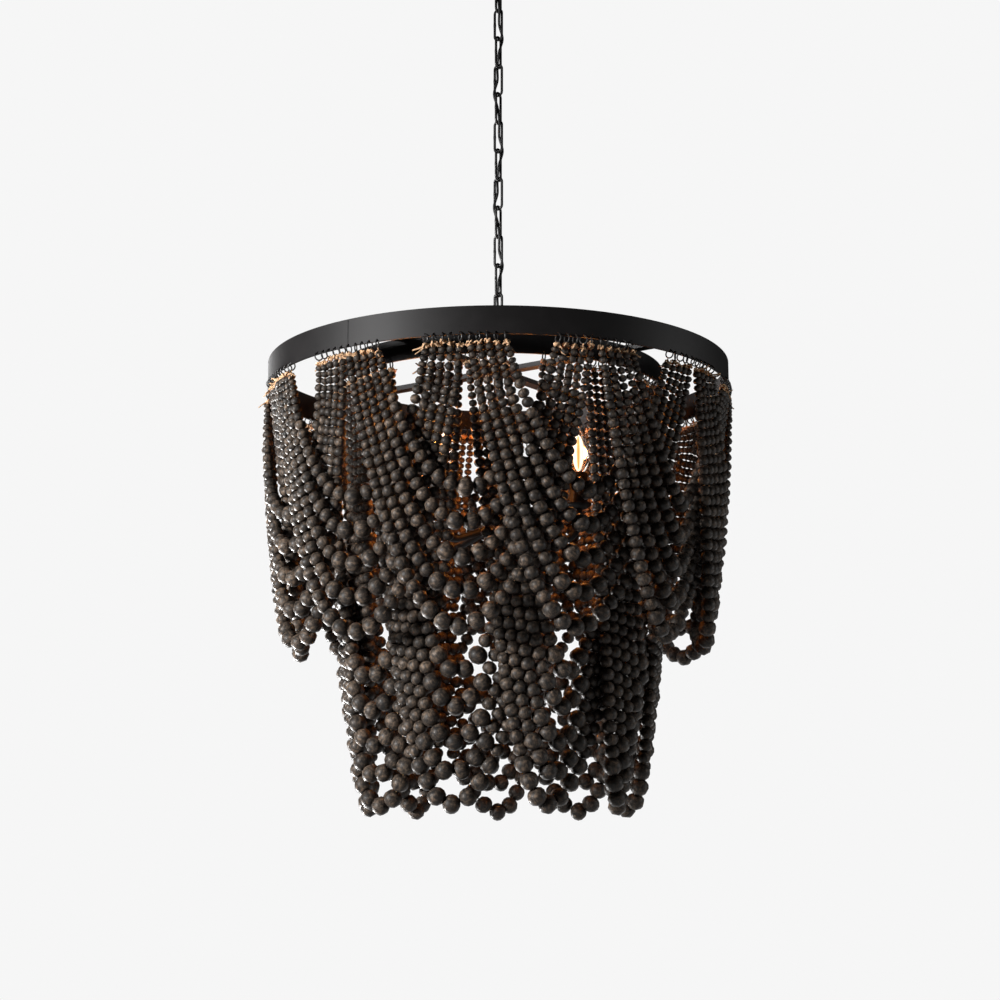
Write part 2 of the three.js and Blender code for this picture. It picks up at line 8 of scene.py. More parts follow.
import bpy
import numpy as np
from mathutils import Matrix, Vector


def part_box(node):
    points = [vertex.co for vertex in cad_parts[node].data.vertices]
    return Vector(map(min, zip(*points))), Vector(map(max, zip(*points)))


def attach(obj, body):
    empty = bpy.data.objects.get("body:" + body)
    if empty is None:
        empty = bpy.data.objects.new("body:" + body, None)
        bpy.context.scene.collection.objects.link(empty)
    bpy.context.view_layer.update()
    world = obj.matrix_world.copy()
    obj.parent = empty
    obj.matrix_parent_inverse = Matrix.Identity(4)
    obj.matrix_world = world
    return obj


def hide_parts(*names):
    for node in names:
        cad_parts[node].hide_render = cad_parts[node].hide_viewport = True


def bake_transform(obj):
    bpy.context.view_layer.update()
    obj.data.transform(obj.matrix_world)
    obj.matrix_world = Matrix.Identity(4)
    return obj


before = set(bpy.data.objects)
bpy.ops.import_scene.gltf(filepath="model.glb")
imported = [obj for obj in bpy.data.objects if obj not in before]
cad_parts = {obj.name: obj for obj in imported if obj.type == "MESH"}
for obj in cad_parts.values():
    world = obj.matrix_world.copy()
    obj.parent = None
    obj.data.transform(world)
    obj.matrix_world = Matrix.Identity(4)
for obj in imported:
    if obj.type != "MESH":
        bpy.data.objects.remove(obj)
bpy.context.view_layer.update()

# %% [markdown]
# ## Heights and counts
# The pieces follow the frame, so heights are read from the boxes of the CAD nodes. What a
# box can't tell, such as a wire's thickness or where a strand is hooked, is written here
# in millimetres and turned into metres once.

# %% Read the heights that the pieces hang from
MM = 0.001


def heights_of(node_name):
    """Lowest and highest z of a CAD node, in millimetres."""
    low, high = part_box(node_name)
    return low[2] / MM, high[2] / MM


hoop_bottom, hoop_top = (height * MM for height in heights_of("outer_hoop"))
LINKS = 12
LIGHTS = 4
link_bottoms, link_tops = np.transpose([heights_of(f"chain_link_{number + 1:02d}") for number in range(LINKS)])
print("hoop from", round(hoop_bottom, 4), "to", round(hoop_top, 4), "m;", LINKS, "links")

# %% [markdown]
# ## Camera
# The photograph is taken from a little below the hoops, looking slightly up, with a long
# lens. The place, tilt and focal length come from fitting the hoops' ellipses and the
# chain's pitch, with the picture taken as 1000 pixels wide.

# %% Set the camera where the photographer stood
FOCAL_PIXELS = 1961.9
PICTURE_PIXELS = 1000
SENSOR = 36.0
CAMERA_PLACE = (0.0, -2.5408, -1.2593)
CAMERA_TILT_UP = 0.1856
AXIS_PIXEL = 498.3

camera_data = bpy.data.cameras.new("photo_camera")
camera_data.sensor_width = SENSOR
camera_data.lens = FOCAL_PIXELS / PICTURE_PIXELS * SENSOR
camera_data.shift_x = 0.5 - AXIS_PIXEL / PICTURE_PIXELS
camera = bpy.data.objects.new("photo_camera", camera_data)
camera.location = CAMERA_PLACE
camera.rotation_euler = (np.pi / 2 + CAMERA_TILT_UP, 0.0, 0.0)
bpy.context.scene.collection.objects.link(camera)
bpy.context.scene.camera = camera
print("lens", round(camera_data.lens, 2), "mm at", CAMERA_PLACE)

# %% [markdown]
# ## From arrays to meshes
# Each new piece is a surface worked out as whole arrays: a grid of points with two
# parameters, and quads between neighbours. Where a grid closes to a point, such as the tip
# of a turned knob, the points that lie together are welded and the quads there become
# triangles, so no seam stays open.


# %% Turn grids of points into closed meshes
def grid_faces(rows, columns, wrap_rows=False, wrap_columns=False):
    """Quads between neighbouring rows and columns of a grid; a wrap joins the last to the first."""
    row = np.arange(rows if wrap_rows else rows - 1)
    column = np.arange(columns if wrap_columns else columns - 1)
    row, column = np.meshgrid(row, column, indexing="ij")
    below, beside = (row + 1) % rows, (column + 1) % columns
    corners = [(row, column), (row, beside), (below, beside), (below, column)]
    return np.stack([at_row * columns + at_column for at_row, at_column in corners], -1).reshape(-1, 4)


def weld(points, quads):
    """Points that lie together become one, and a quad that loses a corner becomes a triangle."""
    keys = np.round(points / (0.001 * MM)).astype(np.int64)
    _, first, index = np.unique(keys, axis=0, return_index=True, return_inverse=True)
    faces = index.ravel()[quads]
    same = faces == np.roll(faces, -1, axis=1)
    lost = same.sum(1)
    return points[first], faces[lost == 0], faces[lost == 1][~same[lost == 1]].reshape(-1, 3)


def mesh_of(name, points, *face_sets, smooth=True):
    """A mesh from points (N, 3) and whole arrays of faces; points that no face uses are left out."""
    face_sets = [faces for faces in face_sets if len(faces)]
    used, corners = np.unique(np.concatenate([faces.ravel() for faces in face_sets]), return_inverse=True)
    points = np.asarray(points)[used]
    counts = np.concatenate([np.full(len(faces), faces.shape[1]) for faces in face_sets])
    starts = np.concatenate([[0], np.cumsum(counts)[:-1]]).astype(np.int32)
    mesh = bpy.data.meshes.new(name)
    mesh.vertices.add(len(points))
    mesh.vertices.foreach_set("co", np.asarray(points, np.float32).ravel())
    mesh.loops.add(len(corners))
    mesh.loops.foreach_set("vertex_index", corners.ravel().astype(np.int32))
    mesh.polygons.add(len(counts))
    mesh.polygons.foreach_set("loop_start", starts)
    mesh.polygons.foreach_set("use_smooth", np.full(len(counts), smooth))
    mesh.update(calc_edges=True)
    mesh.validate()
    return mesh


def place(name, mesh, finish, body=None, stands_for=()):
    """A shown object for the mesh: its material, its body and its CAD nodes."""
    piece = bpy.data.objects.new(name, mesh)
    bpy.context.scene.collection.objects.link(piece)
    mesh.materials.append(finish)
    if body:
        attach(piece, body)
    if stands_for:
        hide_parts(*stands_for)
    return piece


def keep_edges_crisp(mesh, degrees=35.0):
    """Edges where two faces meet at more than this angle are drawn sharp."""
    mesh.set_sharp_from_angle(angle=np.radians(degrees))
    return mesh


print("mesh helpers ready")

# %% [markdown]
# ## Turned and bent stock
# Most of the metalwork is either turned on a lathe or bent from round wire. A turned piece
# is a profile of radius and height carried round an axis. A wire or tube is a ring carried
# along a path. Both are one grid each, so they share the helpers above.


# %% Turn profiles and carry rings along paths
def turned(profile, segments=48, centre=(0.0, 0.0, 0.0)):
    """Each profile point (radius r, height h) goes round: x = r sin t, y = -r cos t, z = h."""
    radius, height = np.array(profile, float).T * MM
    turn = np.arange(segments) / segments * 2 * np.pi
    x = np.outer(radius, np.sin(turn))
    y = -np.outer(radius, np.cos(turn))
    z = np.broadcast_to(height[:, None], x.shape)
    points = np.stack([x, y, z], -1).reshape(-1, 3) + np.array(centre)
    closed = np.allclose(profile[0], profile[-1])
    if closed:
        points = points[:-segments]
    rows = len(profile) - (1 if closed else 0)
    return weld(points, grid_faces(rows, segments, wrap_rows=closed, wrap_columns=True))


def unit(vectors):
    """Each vector divided by its own length."""
    return vectors / np.linalg.norm(vectors, axis=-1, keepdims=True)


def turned_about_z(points, degrees):
    """Points turned about the lamp's axis by an angle or by one angle each:
    x' = x cos a - y sin a, y' = x sin a + y cos a."""
    angle = np.radians(degrees)
    x = points[..., 0] * np.cos(angle) - points[..., 1] * np.sin(angle)
    y = points[..., 0] * np.sin(angle) + points[..., 1] * np.cos(angle)
    return np.stack([x, y, points[..., 2]], -1)


def carried(paths, radius, sides=12, across=(1.0, 0.0, 0.0), loop=False):
    """A ring of radius r round each point p of one path (K, 3) or of many (N, K, 3):
    p + r cos t s + r sin t u, where s and u lie across the path. Ends close on the path."""
    paths = np.asarray(paths, float)
    paths = paths.reshape(-1, *paths.shape[-2:])
    if loop:
        ahead = unit(np.roll(paths, -1, axis=1) - np.roll(paths, 1, axis=1))
    else:
        ahead = unit(np.gradient(paths, axis=1))
    side = unit(np.cross(ahead, across))
    up = np.cross(side, ahead)
    radii = np.broadcast_to(np.asarray(radius, float), paths.shape[:2])[..., None, None]
    turn = (np.arange(sides) / sides * 2 * np.pi)[:, None]
    rings = paths[:, :, None] + radii * (np.cos(turn) * side[:, :, None] + np.sin(turn) * up[:, :, None])
    if not loop:
        ends = [np.repeat(paths[:, [k], None], sides, axis=2) for k in (0, -1)]
        rings = np.concatenate([ends[0], rings, ends[1]], axis=1)
    faces = grid_faces(rings.shape[1], sides, wrap_rows=loop, wrap_columns=True)[:, ::-1]
    every = faces[None] + (np.arange(len(paths)) * rings.shape[1] * sides)[:, None, None]
    return weld(rings.reshape(-1, 3), every.reshape(-1, 4))


def smooth_path(points, steps):
    """A centripetal Catmull-Rom curve: knots grow with the square root of each chord, and the
    ends are carried on in a straight line."""
    points = np.asarray(points, float)
    points = np.concatenate([[2 * points[0] - points[1]], points, [2 * points[-1] - points[-2]]])
    knots = np.concatenate([[0], np.cumsum(np.sqrt(np.linalg.norm(np.diff(points, axis=0), axis=1)))])
    share = np.linspace(0, len(points) - 3, steps + 1)
    span = np.minimum(share.astype(int), len(points) - 4) + 1
    t = (knots[span] + (share - span + 1) * (knots[span + 1] - knots[span]))[:, None]

    def between(a, b, from_knot, to_knot):
        weight = (t - knots[from_knot][:, None]) / (knots[to_knot] - knots[from_knot])[:, None]
        return a * (1 - weight) + b * weight

    a = [between(points[span + k - 1], points[span + k], span + k - 1, span + k) for k in range(3)]
    b = [between(a[k], a[k + 1], span + k - 1, span + k + 1) for k in range(2)]
    return between(b[0], b[1], span, span + 1)


print("turning and bending ready")

# %% [markdown]
# ## Finishes
# A finish is a node material that shows what the real surface shows at arm's length. The
# metal is matte black paint with a faint orange peel; the outer hoop's weld is a thin line of
# painted shade. The wood is stained charcoal, and its brown grain comes through where the
# stain is thin. The jute is twisted fibre, with painted highlight on its plies and painted
# shade between them. Patterns read object coordinates, or an attribute that every bead
# carries, so they stay put.


# %% Helpers that wire shader nodes
def feed(tree, made, **inputs):
    """Inputs of a node by name or number: a socket is linked, a value is set on its input."""
    for key, value in inputs.items():
        socket = made.inputs[int(key[1:]) if key[1:].isdigit() else key.replace("_", " ")]
        if isinstance(value, bpy.types.NodeSocket):
            tree.links.new(value, socket)
        else:
            socket.default_value = value


def node(tree, kind, settings=None, **inputs):
    """A new node with its settings and inputs."""
    made = tree.nodes.new(kind)
    for key, value in (settings or {}).items():
        setattr(made, key, value)
    feed(tree, made, **inputs)
    return made


def new_finish(name):
    """A material with only a shader and its output, given with its node tree and shader."""
    finish = bpy.data.materials.new(name)
    finish.use_nodes = True
    tree = finish.node_tree
    tree.nodes.clear()
    shader = tree.nodes.new("ShaderNodeBsdfPrincipled")
    node(tree, "ShaderNodeOutputMaterial", Surface=shader.outputs[0])
    return finish, tree, shader


def own_place(tree):
    """The piece's own coordinates, in metres."""
    return tree.nodes.new("ShaderNodeTexCoord").outputs["Object"]


def mesh_value(tree, name, output="Fac"):
    """The value of a mesh attribute."""
    return node(tree, "ShaderNodeAttribute", {"attribute_name": name}).outputs[output]


def noise(tree, vector, scale, detail, roughness=0.5):
    """A cloudy pattern from 0 to 1 over the given coordinates."""
    made = node(tree, "ShaderNodeTexNoise", Vector=vector, Scale=scale, Detail=detail, Roughness=roughness)
    return made.outputs["Fac"]


def maths(tree, operation, *values):
    """The result of one operation on values or sockets."""
    numbered = {f"_{number}": value for number, value in enumerate(values)}
    return node(tree, "ShaderNodeMath", {"operation": operation}, **numbered).outputs[0]


def shades(tree, factor, stops):
    """A colour ramp over the factor, from (position, colour) stops."""
    ramp = tree.nodes.new("ShaderNodeValToRGB")
    elements = ramp.color_ramp.elements
    elements.remove(elements[1])
    elements[0].position = stops[0][0]
    for position, _ in stops[1:]:
        elements.new(position)
    for element, (_, colour) in zip(elements, stops):
        element.color = (*colour, 1.0)
    feed(tree, ramp, Fac=factor)
    return ramp.outputs["Color"]


def levels(tree, factor, low, high):
    """The factor from 0 to 1 spread between two levels."""
    return node(tree, "ShaderNodeMapRange", Value=factor, To_Min=low, To_Max=high).outputs["Result"]


def blend_of(tree, *weighted):
    """The sum of factors, each times its weight."""
    total = 0.0
    for factor, weight in weighted:
        total = maths(tree, "MULTIPLY_ADD", factor, weight, total)
    return total


def bump(tree, height, depth):
    """A bump of the given depth in millimetres."""
    return node(tree, "ShaderNodeBump", Height=height, Distance=depth * MM, Strength=1.0).outputs["Normal"]


print("shader helpers ready")


# %% Paint, wire and cord finishes
PEEL_DEPTH = 0.03


def black_finish(name, dark, pale, rough, sheen=0.5):
    """Black paint: a slow noise for its shade and roughness, and a fine one for its peel."""
    finish, tree, shader = new_finish(name)
    place_of = own_place(tree)
    clouds = noise(tree, place_of, 22.0, 5.0, 0.6)
    grains = noise(tree, place_of, 900.0, 2.0)
    feed(
        tree,
        shader,
        Base_Color=shades(tree, clouds, [(0.3, dark), (0.7, pale)]),
        Roughness=levels(tree, clouds, *rough),
        Normal=bump(tree, grains, PEEL_DEPTH),
        Specular_IOR_Level=sheen,
    )
    return finish


paint_finish = black_finish(
    "black_paint", (0.006, 0.0056, 0.0060), (0.011, 0.0100, 0.0106), (0.42, 0.52), sheen=0.22
)
chain_finish = black_finish("chain_black", (0.008, 0.0078, 0.0078), (0.016, 0.015, 0.0145), (0.3, 0.45))
ring_finish = black_finish("ring_wire_black", (0.009, 0.008, 0.008), (0.02, 0.018, 0.017), (0.28, 0.42))
sheath_finish = black_finish("cord_sheath_black", (0.007, 0.007, 0.0075), (0.013, 0.013, 0.013), (0.5, 0.65))
blacks = (paint_finish, chain_finish, ring_finish, sheath_finish)
print("painted and sheathed finishes:", [finish.name for finish in blacks])


# %% The weld where the outer hoop's ends meet, drawn as a thin line of painted shade
SEAM_AZIMUTH = -36.6
SEAM_HALF_WIDTH = 0.5
# The near black of the seam line is painted shade of the crevice where the hoop's ends meet.
SEAM_SHADE_COLOUR = (0.001, 0.001, 0.001, 1.0)


def paint_with_seam_shade():
    """The black paint with a thin line of painted shade in it: near black and without gleam, as the
    shade in the crevice where the ends meet. The line is where a point lies next to the
    upright plane through the lamp's axis at the seam's azimuth, on its left side."""
    finish = black_finish(
        "hoop_paint", (0.007, 0.0063, 0.0064), (0.012, 0.0106, 0.0108), (0.47, 0.58), sheen=0.24
    )
    tree = finish.node_tree
    shader = next(made for made in tree.nodes if made.type == "BSDF_PRINCIPLED")
    place_of = own_place(tree)
    angle = np.radians(SEAM_AZIMUTH)
    across = (float(np.cos(angle)), float(np.sin(angle)), 0.0)
    off = node(tree, "ShaderNodeVectorMath", {"operation": "DOT_PRODUCT"}, _0=place_of, _1=across)
    near = maths(tree, "COMPARE", off.outputs["Value"], 0.0, SEAM_HALF_WIDTH * MM)
    sideways = node(tree, "ShaderNodeSeparateXYZ", Vector=place_of).outputs["X"]
    line = maths(tree, "MULTIPLY", near, maths(tree, "LESS_THAN", sideways, 0.0))
    painted = shader.inputs["Base Color"].links[0].from_socket
    # Painted shade: the seam's line is darkened to near black here, and below its gleam is taken away.
    mixed = node(tree, "ShaderNodeMix", {"data_type": "RGBA"}, Factor=line, A=painted, B=SEAM_SHADE_COLOUR)
    gleam_cut_in_seam_shade = shades(tree, line, [(0.0, (1.0, 1.0, 1.0)), (1.0, (0.0, 0.0, 0.0))])
    feed(tree, shader, Base_Color=mixed.outputs["Result"], Specular_Tint=gleam_cut_in_seam_shade)
    return finish


hoop_finish = paint_with_seam_shade()
print("hoop finish made:", hoop_finish.name)


# %% Stained wood for the beads
def wood_finish():
    """Wood stained charcoal: long grain noise along each bead's axis, a blotchy stain, and a
    tint per bead; the stain is thinnest where grain and blotches agree."""
    finish, tree, shader = new_finish("stained_wood")
    grain_place = mesh_value(tree, "grain", "Vector")
    stretched = node(tree, "ShaderNodeMapping", Vector=grain_place, Scale=(1.0, 1.0, 0.12)).outputs[0]
    lines = noise(tree, stretched, 520.0, 5.0, 0.65)
    blotches = noise(tree, grain_place, 210.0, 4.0)
    thinness = blend_of(tree, (lines, 0.44), (blotches, 0.52), (mesh_value(tree, "tint"), 0.12))
    stains = [
        (0.43, (0.0115, 0.0098, 0.0088)),
        (0.53, (0.0320, 0.0252, 0.0205)),
        (0.61, (0.0800, 0.0590, 0.0440)),
        (0.70, (0.1760, 0.1210, 0.0830)),
    ]
    feed(
        tree,
        shader,
        Base_Color=shades(tree, thinness, stains),
        Roughness=levels(tree, lines, 0.42, 0.62),
        Normal=bump(tree, lines, 0.1),
        Specular_IOR_Level=0.24,
        Coat_Weight=1.0,
        Coat_IOR=1.06,
        Coat_Roughness=0.09,
    )
    return finish


bead_finish = wood_finish()
print("wood finish made:", bead_finish.name)


# %% Jute, glass, glow and brass
def jute_finish():
    """Twisted fibre: slanted waves with noise. Their colour carries painted light and shade, tan as a painted
    highlight on the plies and brown as painted shade between strands; the noise also varies the fibre's own
    tone.
    """
    finish, tree, shader = new_finish("jute")
    place_of = own_place(tree)
    slant = {"bands_direction": "DIAGONAL"}
    twist = node(tree, "ShaderNodeTexWave", slant, Vector=place_of, Scale=420.0, Distortion=4.0, Detail=2.0)
    fuzz = noise(tree, place_of, 700.0, 4.0)
    mixed = maths(tree, "MULTIPLY_ADD", twist.outputs["Fac"], 0.45, fuzz)
    # Painted light and shade: the ramp makes the plies tan as if lit and the grooves between strands brown as
    # shade.
    tans_lit_and_shaded = [(0.35, (0.30, 0.15, 0.07)), (0.6, (0.58, 0.34, 0.18)), (0.9, (0.80, 0.55, 0.35))]
    feed(
        tree,
        shader,
        Base_Color=shades(tree, mixed, tans_lit_and_shaded),
        Roughness=levels(tree, fuzz, 0.75, 0.95),
        Normal=bump(tree, mixed, 0.3),
        Specular_IOR_Level=0.2,
    )
    return finish


def clear_glass_finish():
    """Clear glass with a faint warm tone and a slow change in its polish."""
    finish, tree, shader = new_finish("clear_glass")
    waves = noise(tree, own_place(tree), 60.0, 2.0)
    tone = shades(tree, waves, [(0.3, (1.0, 0.93, 0.82)), (0.7, (1.0, 0.97, 0.92))])
    polish = levels(tree, waves, 0.02, 0.08)
    feed(tree, shader, Base_Color=tone, Roughness=polish, Transmission_Weight=1.0, IOR=1.2)
    return finish


def glow_finish():
    """A glowing wire cage: orange along its wires and nearly white between them."""
    finish, tree, shader = new_finish("filament_glow")
    stops = [(0.5, (1.0, 0.96, 0.86)), (0.8, (0.95, 0.62, 0.28)), (1.0, (0.70, 0.28, 0.07))]
    heat = shades(tree, mesh_value(tree, "wires"), stops)
    feed(tree, shader, Emission_Color=heat, Base_Color=heat, Emission_Strength=1.05)
    return finish


def brass_finish():
    """Brass with a slow change of tone and polish."""
    finish, tree, shader = new_finish("cap_brass")
    waves = noise(tree, own_place(tree), 120.0, 3.0)
    tone = shades(tree, waves, [(0.3, (0.45, 0.31, 0.12)), (0.7, (0.62, 0.45, 0.2))])
    feed(tree, shader, Base_Color=tone, Roughness=levels(tree, waves, 0.25, 0.45), Metallic=1.0)
    return finish


fibre_finish = jute_finish()
glass_finish = clear_glass_finish()
filament_finish = glow_finish()
cap_finish = brass_finish()
print("fibre, glass, filament and brass finishes made")

# %% [markdown]
# ## Supply cord
# A flex of 3.4 mm runs down through the chain, passing from side to side at every
# crossing, and goes from the canopy's loop into the lamp's loop. On the real lamp it bends at
# every hinge when the lamp swings. Here it is made in 13 lengths. Each one spans one hinge
# and ends in the middle of a link, where it meets the next without a step.

# %% Lay the cord's route through the links
CORD_RADIUS = 1.7
CORD_SIDE = 4.2
CORD_EYE_SIDE = 4.7
CORD_MIDDLE = 1.4
EYE_RING, EYE_WIRE, NECK = 9.0, 2.5, 7.0
CORD_IN_BORE = 8.0
CORD_STEPS_PER_POINT = 8
LINK_WIRE = 1.75
CHAIN_TURN = 147.0

canopy_loop_bottom, canopy_shank = heights_of("canopy_loop")
fixture_shank, fixture_loop_top = heights_of("fixture_loop")
canopy_eye = canopy_loop_bottom + EYE_RING + EYE_WIRE
fixture_eye = fixture_loop_top - EYE_RING - EYE_WIRE


def cord_points():
    """The route in millimetres: down the bore, then at each crossing a corner that goes on by
    a quarter turn, with a point near the axis in the middle of every link."""
    points = [(0.0, 0.0, canopy_eye + EYE_RING + NECK + CORD_IN_BORE)]
    points += [(0.0, 0.0, canopy_eye + EYE_RING), (0.0, 0.0, canopy_eye + EYE_RING - 2 * EYE_WIRE)]
    for crossing in range(LINKS + 1):
        quarter = np.pi / 4 + crossing * np.pi / 2
        at_eye = crossing in (0, LINKS)
        side = (CORD_EYE_SIDE if at_eye else CORD_SIDE) * np.sqrt(2)
        last = crossing == LINKS
        height = link_bottoms[-1] + 2 * LINK_WIRE if last else link_tops[crossing] - 2 * LINK_WIRE
        points.append((side * np.cos(quarter), side * np.sin(quarter), height))
        if not last:
            turn = quarter + np.pi / 4
            middle = (link_tops[crossing] + link_bottoms[crossing]) / 2
            points.append((CORD_MIDDLE * np.cos(turn), CORD_MIDDLE * np.sin(turn), middle))
    points += [(0.0, 0.0, fixture_eye - EYE_RING + 2 * EYE_WIRE), (0.0, 0.0, fixture_eye - EYE_RING)]
    points += [(0.0, 0.0, fixture_eye - EYE_RING - NECK - CORD_IN_BORE)]
    return turned_about_z(np.array(points), CHAIN_TURN) * MM


route = cord_points()
cord_line = smooth_path(route, (len(route) - 1) * CORD_STEPS_PER_POINT)
cord_length = np.linalg.norm(np.diff(cord_line, axis=0), axis=1).sum()
print("cord:", len(route), "route points,", round(float(cord_length), 3), "m long")

# %% Cut the cord at the links' middles, so that each length spans one hinge
cuts = [0] + [(4 + 2 * link) * CORD_STEPS_PER_POINT for link in range(LINKS)] + [len(cord_line) - 1]

for number, (first, last) in enumerate(zip(cuts[:-1], cuts[1:])):
    length_line = cord_line[first : last + 1]
    mesh = mesh_of(f"supply_cord_{number + 1:02d}", *carried(length_line, CORD_RADIUS * MM))
    cord = place(mesh.name, mesh, sheath_finish)
    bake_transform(cord)
    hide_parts("supply_cord")
print("cord lengths:", len(cuts) - 1)

# %% [markdown]
# ## Chain
# Each link is a length of 3.5 mm wire bent to an oval and welded on one side. An oval is
# two half circles and two straights, and the weld is a slight swelling of the wire. Every
# link stands across its neighbours. The whole chain hangs a little turned, so the camera
# sees into all the links, as in the photograph.

# %% Bend the links
LINK_LENGTH, LINK_WIDTH = 48.0, 15.0
LINK_STEPS = 64
WELD_SWELL, WELD_REACH = 0.16, 2.2


def link_path(steps):
    """An oval walked at even speed: straights of length L - W joined by half circles."""
    crown = LINK_WIDTH / 2 - LINK_WIRE
    straight = LINK_LENGTH - LINK_WIDTH
    arc = np.pi * crown
    walk = np.arange(steps) / steps * 2 * (straight + arc)
    on_arc = (walk % (straight + arc)) > straight
    half = np.floor(walk / (straight + arc))
    along = walk % (straight + arc)
    turn = np.where(on_arc, (along - straight) / crown, 0.0)
    x = np.where(on_arc, crown * np.cos(turn), crown)
    z = np.where(on_arc, straight / 2 + crown * np.sin(turn), along - straight / 2)
    flip = np.where(half > 0, -1.0, 1.0)
    return np.stack([flip * x, np.zeros(steps), flip * z], -1), walk, straight


def chain_link(number):
    """The oval carried to its link's middle, with a swollen weld on one straight."""
    path, walk, straight = link_path(LINK_STEPS)
    swell = 1 + WELD_SWELL * np.exp(-(((walk - straight / 2) / WELD_REACH) ** 2))
    if number % 2:
        path = path[:, [1, 0, 2]]
    middle = (link_bottoms[number - 1] + link_tops[number - 1]) / 2
    path = (turned_about_z(path, CHAIN_TURN) + np.array([0.0, 0.0, middle])) * MM
    across = turned_about_z(np.array([1.0, 0.0, 0.0] if number % 2 else [0.0, 1.0, 0.0]), CHAIN_TURN)
    return carried(path, LINK_WIRE * MM * swell, across=across, loop=True)


for number in range(1, LINKS + 1):
    mesh = mesh_of(f"link_wire_{number:02d}", *chain_link(number))
    place(mesh.name, mesh, chain_finish, f"link_{number:02d}", [f"chain_link_{number:02d}"])
print("links:", LINKS, "each of", LINK_STEPS, "rings")

# %% [markdown]
# ## Ceiling fitting and the two loops
# A strap is screwed to the ceiling, a canopy cup hides it, and a ring nut clamps the cup.
# Above and below, the chain hangs in cast loops with a turned neck. The photograph ends
# below the ceiling, so these are the plain forms that such a lamp has.


# %% Turn the canopy, nut and loops
def rounded(corners, radius, steps=4):
    """A profile whose inner corners become short arcs: each corner p is replaced by points of
    the curve (1-t)^2 a + 2t(1-t) p + t^2 b between points a and b near it."""
    corners = np.array(corners, float)
    before, at, after = corners[:-2], corners[1:-1], corners[2:]
    to_before, to_after = before - at, after - at
    a, b = (
        at + np.minimum(radius, 0.45 * np.linalg.norm(side, axis=1))[:, None] * unit(side)
        for side in (to_before, to_after)
    )
    t = np.linspace(0, 1, steps)[None, :, None]
    arcs = (1 - t) ** 2 * a[:, None] + 2 * t * (1 - t) * at[:, None] + t**2 * b[:, None]
    return [tuple(point) for point in np.concatenate([corners[:1], arcs.reshape(-1, 2), corners[-1:]])]


CANOPY_RADIUS, CANOPY_WALL, CANOPY_CORNER = 63.5, 1.2, 9.0
NUT_RADIUS, NUT_CHAMFER = 12.0, 1.2
SHANK, SHANK_BORE, FIT = 4.0, 2.3, 0.3
BORE = SHANK + FIT
canopy_low, canopy_high = heights_of("canopy")
nut_low, nut_high = heights_of("canopy_nut")


def canopy_profile():
    """Floor, rounded corner and wall outside, and the same inset by the wall inside."""
    turn = np.linspace(0, np.pi / 2, 9)
    across, up = CANOPY_RADIUS - CANOPY_CORNER, canopy_low + CANOPY_CORNER
    outside, inside = (
        [(across + radius * np.sin(angle), up - radius * np.cos(angle)) for angle in turn]
        for radius in (CANOPY_CORNER, CANOPY_CORNER - CANOPY_WALL)
    )
    profile = [(BORE, canopy_low), *outside, (CANOPY_RADIUS, canopy_high)]
    profile += [(CANOPY_RADIUS - CANOPY_WALL, canopy_high), *inside[::-1]]
    return profile + [(BORE, canopy_low + CANOPY_WALL), (BORE, canopy_low)]


def nut_profile():
    """A ring with its lower outer edge chamfered and every corner softened."""
    profile = [(BORE, nut_low), (NUT_RADIUS - NUT_CHAMFER, nut_low), (NUT_RADIUS, nut_low + NUT_CHAMFER)]
    profile += [(NUT_RADIUS, nut_high), (BORE, nut_high), (BORE, nut_low)]
    return rounded(profile, 0.5)


mesh = keep_edges_crisp(mesh_of("canopy_cup", *turned(canopy_profile(), 96)))
place("canopy_cup", mesh, paint_finish, "ceiling_fitting", ["canopy"])

mesh = keep_edges_crisp(mesh_of("canopy_ring_nut", *turned(nut_profile())))
place("canopy_ring_nut", mesh, paint_finish, "ceiling_fitting", ["canopy_nut"])
print("canopy from", round(canopy_low, 1), "to", round(canopy_high, 1), "mm")


# %% Cast the loops: a ring of wire, a neck that flows into it and a shank
COLLAR = 4.0
SHANK_BORE_DEPTH = 6.0
EYE_STEPS = 40


def loop_parts(eye, up, shank_end, collar):
    """The neck and shank as one turning about the axis; heights grow from the eye towards
    the shank by up, which is 1 or -1."""
    crown, foot = EYE_RING - EYE_WIRE, EYE_RING + NECK
    neck = [(0.0, crown - 0.4), (3.2, crown - 0.2), (4.6, crown + 1.6), (5.4, EYE_RING + 3.0)]
    neck += [(7.0, EYE_RING + 5.5), (7.0, foot)]
    if collar:
        neck += [(9.2, foot), (10.0, foot + 0.8), (10.0, foot + COLLAR), (SHANK, foot + COLLAR)]
    else:
        neck += [(SHANK, foot)]
    reach = abs(shank_end - eye)
    floor = reach - SHANK_BORE_DEPTH
    neck += [(SHANK, reach), (SHANK_BORE, reach), (SHANK_BORE, floor), (0.0, floor)]
    return [(radius, eye + up * height) for radius, height in neck]


def eye_ring(eye, across_x):
    """A circle of wire standing upright about the eye's centre."""
    turn = np.arange(EYE_STEPS) / EYE_STEPS * 2 * np.pi
    flat = np.zeros(EYE_STEPS)
    x, y = (np.cos(turn), flat) if across_x else (flat, np.cos(turn))
    return np.stack([EYE_RING * x, EYE_RING * y, eye + EYE_RING * np.sin(turn)], -1) * MM


def joined(*parts):
    """Several (points, quads, triangles) sets as one set."""
    offsets = np.cumsum([0] + [len(points) for points, _, _ in parts[:-1]])
    points = np.concatenate([part[0] for part in parts])
    quads = np.concatenate([part[1] + offset for part, offset in zip(parts, offsets)])
    triangles = np.concatenate([part[2].reshape(-1, 3) + offset for part, offset in zip(parts, offsets)])
    return points, quads, triangles


